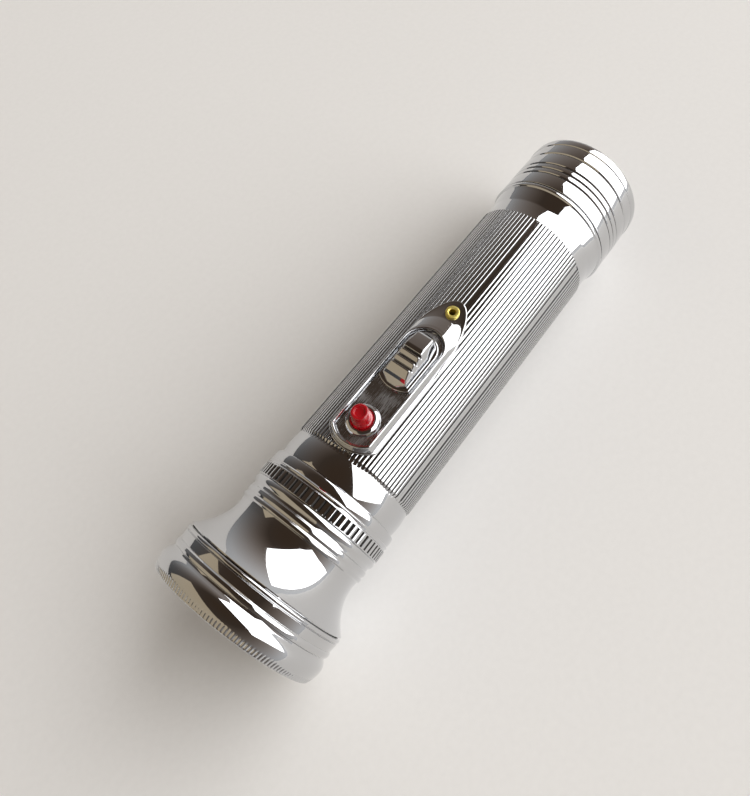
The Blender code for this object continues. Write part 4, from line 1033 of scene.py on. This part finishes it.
# Black rubber: a dull dark grey with a 0.6 mm grain and no clear highlight.
rubber, tree, shader, place = new_finish("black_rubber_sheet")
grain = add(tree, "TexNoise", {"Scale": 1 / (0.6 * MM), "Detail": 5.0}, {"Vector": place})
shade = add(tree, "ValToRGB", links={"Fac": grain.outputs["Fac"]})
shade.color_ramp.elements[0].color = linear("#181818")
shade.color_ramp.elements[1].color = linear("#2C2B2A")
tree.links.new(shade.outputs["Color"], shader.inputs["Base Color"])
shader.inputs["Roughness"].default_value = 0.85
finish_solid("lens_gasket", rubber)

# BEZEL RING
# The plated brass ring that screws on the head and clamps lens and reflector: two beads with a flat
# band between, a full rounded shoulder, and fine milling round the front edge. A lip turned inwards
# holds the lens.
RIM_TEETH = 150
STEPS_IN_MILLING = 6
RIM_DEPTH = 0.15
RIM_REAR = 170.5
RIM_FRONT = 172.25
RIM_INSIDE = 24.0                       # the lip and the bore lie within this radius
RUN_IN = 0.3                            # lengths over which the milling deepens and ends
RUN_OUT = 0.2
RIM_GROOVE = 0.7                        # width of a groove, as a share of the pitch
SHOULDER = 25.58
SHOULDER_AT = 168.2
BEZEL_BORE = 24.05


def milled_rim(angle, radius, height):
    """How deep the fine milling of the front edge is."""
    if radius < RIM_INSIDE or not RIM_REAR < height < RIM_FRONT:
        return 0.0
    from_groove = abs((angle / (2 * math.pi) * RIM_TEETH + 0.5) % 1 - 0.5) * 2
    fade = min(1.0, (height - RIM_REAR) / RUN_IN, (RIM_FRONT - height) / RUN_OUT)
    return RIM_DEPTH * fade * max(0.0, 1 - from_groove / RIM_GROOVE)


rear_steps = (1.0, 0.8, 0.6, 0.4, 0.2)
shoulder_rear = [(SHOULDER - 1.08 * t ** 2, SHOULDER_AT - 2.4 * t, 0) for t in rear_steps]
front_steps = (0.0, 0.2, 0.4, 0.55, 0.63, 0.72, 0.8, 0.9, 1.0)
shoulder_front = [(SHOULDER - 0.95 * t ** 2, SHOULDER_AT + 3.6 * t, 0) for t in front_steps]
bezel_corners = [
    (BEZEL_BORE, 159.6, 0),
    (24.7, 159.6, 0.3),
    (24.95, 160.0, 0.3),
    (24.9, 160.5, 0.3),
    (24.55, 160.75, 0.08),
    (24.84, 160.95, 0.1),
    (24.58, 163.2, 0.1),
    (24.5, 163.35, 0.06),
    (24.85, 163.7, 0.3),
    (24.92, 164.4, 0.4),
    (24.75, 165.0, 0.3),
    (24.45, 165.2, 0.1),
    (24.45, 165.7, 0.1),
    *shoulder_rear,
    *shoulder_front,
    (24.45, 172.2, 0.15),
    (24.1, 172.38, 0.15),
    (21.6, 172.38, 0.2),
    (21.5, 171.35, 0.1),
    (BEZEL_BORE, 171.35, 0.05),
    (BEZEL_BORE, 159.6, 0),
]
bezel_line = rounded(bezel_corners, steps=4)[:-1]
bezel = turned("bezel_clamp", bezel_line, steps=STEPS_IN_MILLING * RIM_TEETH, relief=milled_rim)
dressed(bezel, chrome, "bezel", "bezel_ring")

# STUDIO
# A pale board to lie on, and one very large soft box on the right, towards the tail, which leans
# over the torch. A weak warm lamp fills from the head's side. The room is dim and brown overhead,
# and paler low down on the side of the soft box.
FLOOR_HALF = 1.0
board = bpy.data.meshes.new("floor_board")
sweep = bmesh.new()
bmesh.ops.create_grid(sweep, x_segments=1, y_segments=1, size=FLOOR_HALF)
sweep.to_mesh(board)
sweep.free()
floor = bpy.data.objects.new("floor_board", board)
bpy.context.scene.collection.objects.link(floor)

# Matt painted board: a pale warm grey with a faint grain of 2 mm.
paint, tree, shader, place = new_finish("matt_painted_board")
paper = add(tree, "TexNoise", {"Scale": 1 / (2 * MM), "Detail": 4.0}, {"Vector": place})
pale = add(tree, "ValToRGB", links={"Fac": paper.outputs["Fac"]})
pale.color_ramp.elements[0].color = linear("#E4E3E1")
pale.color_ramp.elements[1].color = linear("#EAE9E7")
tree.links.new(pale.outputs["Color"], shader.inputs["Base Color"])
shader.inputs["Roughness"].default_value = 0.9
floor.data.materials.append(paint)

LIGHT_SIDE = (0.707, -0.707, 0.0)
world = bpy.data.worlds.new("studio")
bpy.context.scene.world = world
world.use_nodes = True
tree = world.node_tree
tree.nodes.clear()
direction = add(tree, "TexCoord").outputs["Generated"]
towards = add(tree, "VectorMath", {1: LIGHT_SIDE}, {0: direction}, operation="DOT_PRODUCT")
side_light = {"From Min": -1.0, "From Max": 1.0, "To Min": 0.04, "To Max": 0.8}
low_down = add(tree, "MapRange", side_light, {"Value": towards.outputs["Value"]})
height = add(tree, "SeparateXYZ", links={"Vector": direction})
rise = {"From Min": 0.05, "From Max": 0.85, "To Max": 0.07}
sky_links = {"Value": height.outputs["Z"], "To Min": low_down.outputs["Result"]}
sky = add(tree, "MapRange", rise, sky_links)
tint = add(tree, "ValToRGB", links={"Fac": height.outputs["Z"]})
tint.color_ramp.elements[0].color = linear("#FFFFFF")
tint.color_ramp.elements[1].color = linear("#E0B998")
glow_links = {"Strength": sky.outputs["Result"], "Color": tint.outputs["Color"]}
glow = add(tree, "Background", links=glow_links)
add(tree, "OutputWorld", links={"Surface": glow.outputs["Background"]})


AIM = Vector((0.0, 0.0, 0.02))          # the middle of the torch, in metres


def soft_box(name, at, wide, high, power, colour):
    """A flat soft lamp that faces the torch."""
    lamp = bpy.data.lights.new(name, "AREA")
    lamp.shape = "RECTANGLE"
    lamp.size = wide
    lamp.size_y = high
    lamp.energy = power
    lamp.color = linear(colour)[:3]
    holder = bpy.data.objects.new(name, lamp)
    holder.location = at
    holder.rotation_euler = (AIM - Vector(at)).to_track_quat("-Z", "Y").to_euler()
    bpy.context.scene.collection.objects.link(holder)


soft_box(
    "key_box",
    at=(2.78, -2.78, 2.76),
    wide=8.7,
    high=5.7,
    power=500.0,
    colour="#FFFFFF",
)
soft_box(
    "fill_box",
    at=(-3.0, 1.86, 2.16),
    wide=6.6,
    high=3.9,
    power=38.0,
    colour="#F5E2C0",
)

# CAMERA
# At the photograph's angle, close over the torch. Its place and its axes were fitted to the
# photograph, and are given on the torch's own axes.
LOOK = Matrix((
    (-0.0382, -0.8075, -0.5887),
    (0.4103, 0.5245, -0.7460),
    (0.9111, -0.2701, 0.3113),
)).transposed()
STAND = Vector((169.06, -56.57, 148.75))
SENSOR = 36.0
LONG_SIDE = 796                         # of the photograph, in pixels, as are the next three
FOCAL_LENGTH = 631.35
SHIFT_ACROSS = -64.7
SHIFT_UP = 1.4
lens_data = bpy.data.cameras.new("photo_camera")
lens_data.sensor_width = SENSOR
lens_data.lens = FOCAL_LENGTH * SENSOR / LONG_SIDE
lens_data.shift_x = SHIFT_ACROSS / LONG_SIDE
lens_data.shift_y = SHIFT_UP / LONG_SIDE
lens_data.clip_start = 0.01
camera = bpy.data.objects.new("photo_camera", lens_data)
turn = LAID.to_3x3().normalized() @ LOOK
camera.matrix_world = Matrix.Translation(LAID @ STAND) @ turn.to_4x4()
bpy.context.scene.collection.objects.link(camera)
bpy.context.scene.camera = camera
bpy.context.scene.view_settings.view_transform = "Standard"
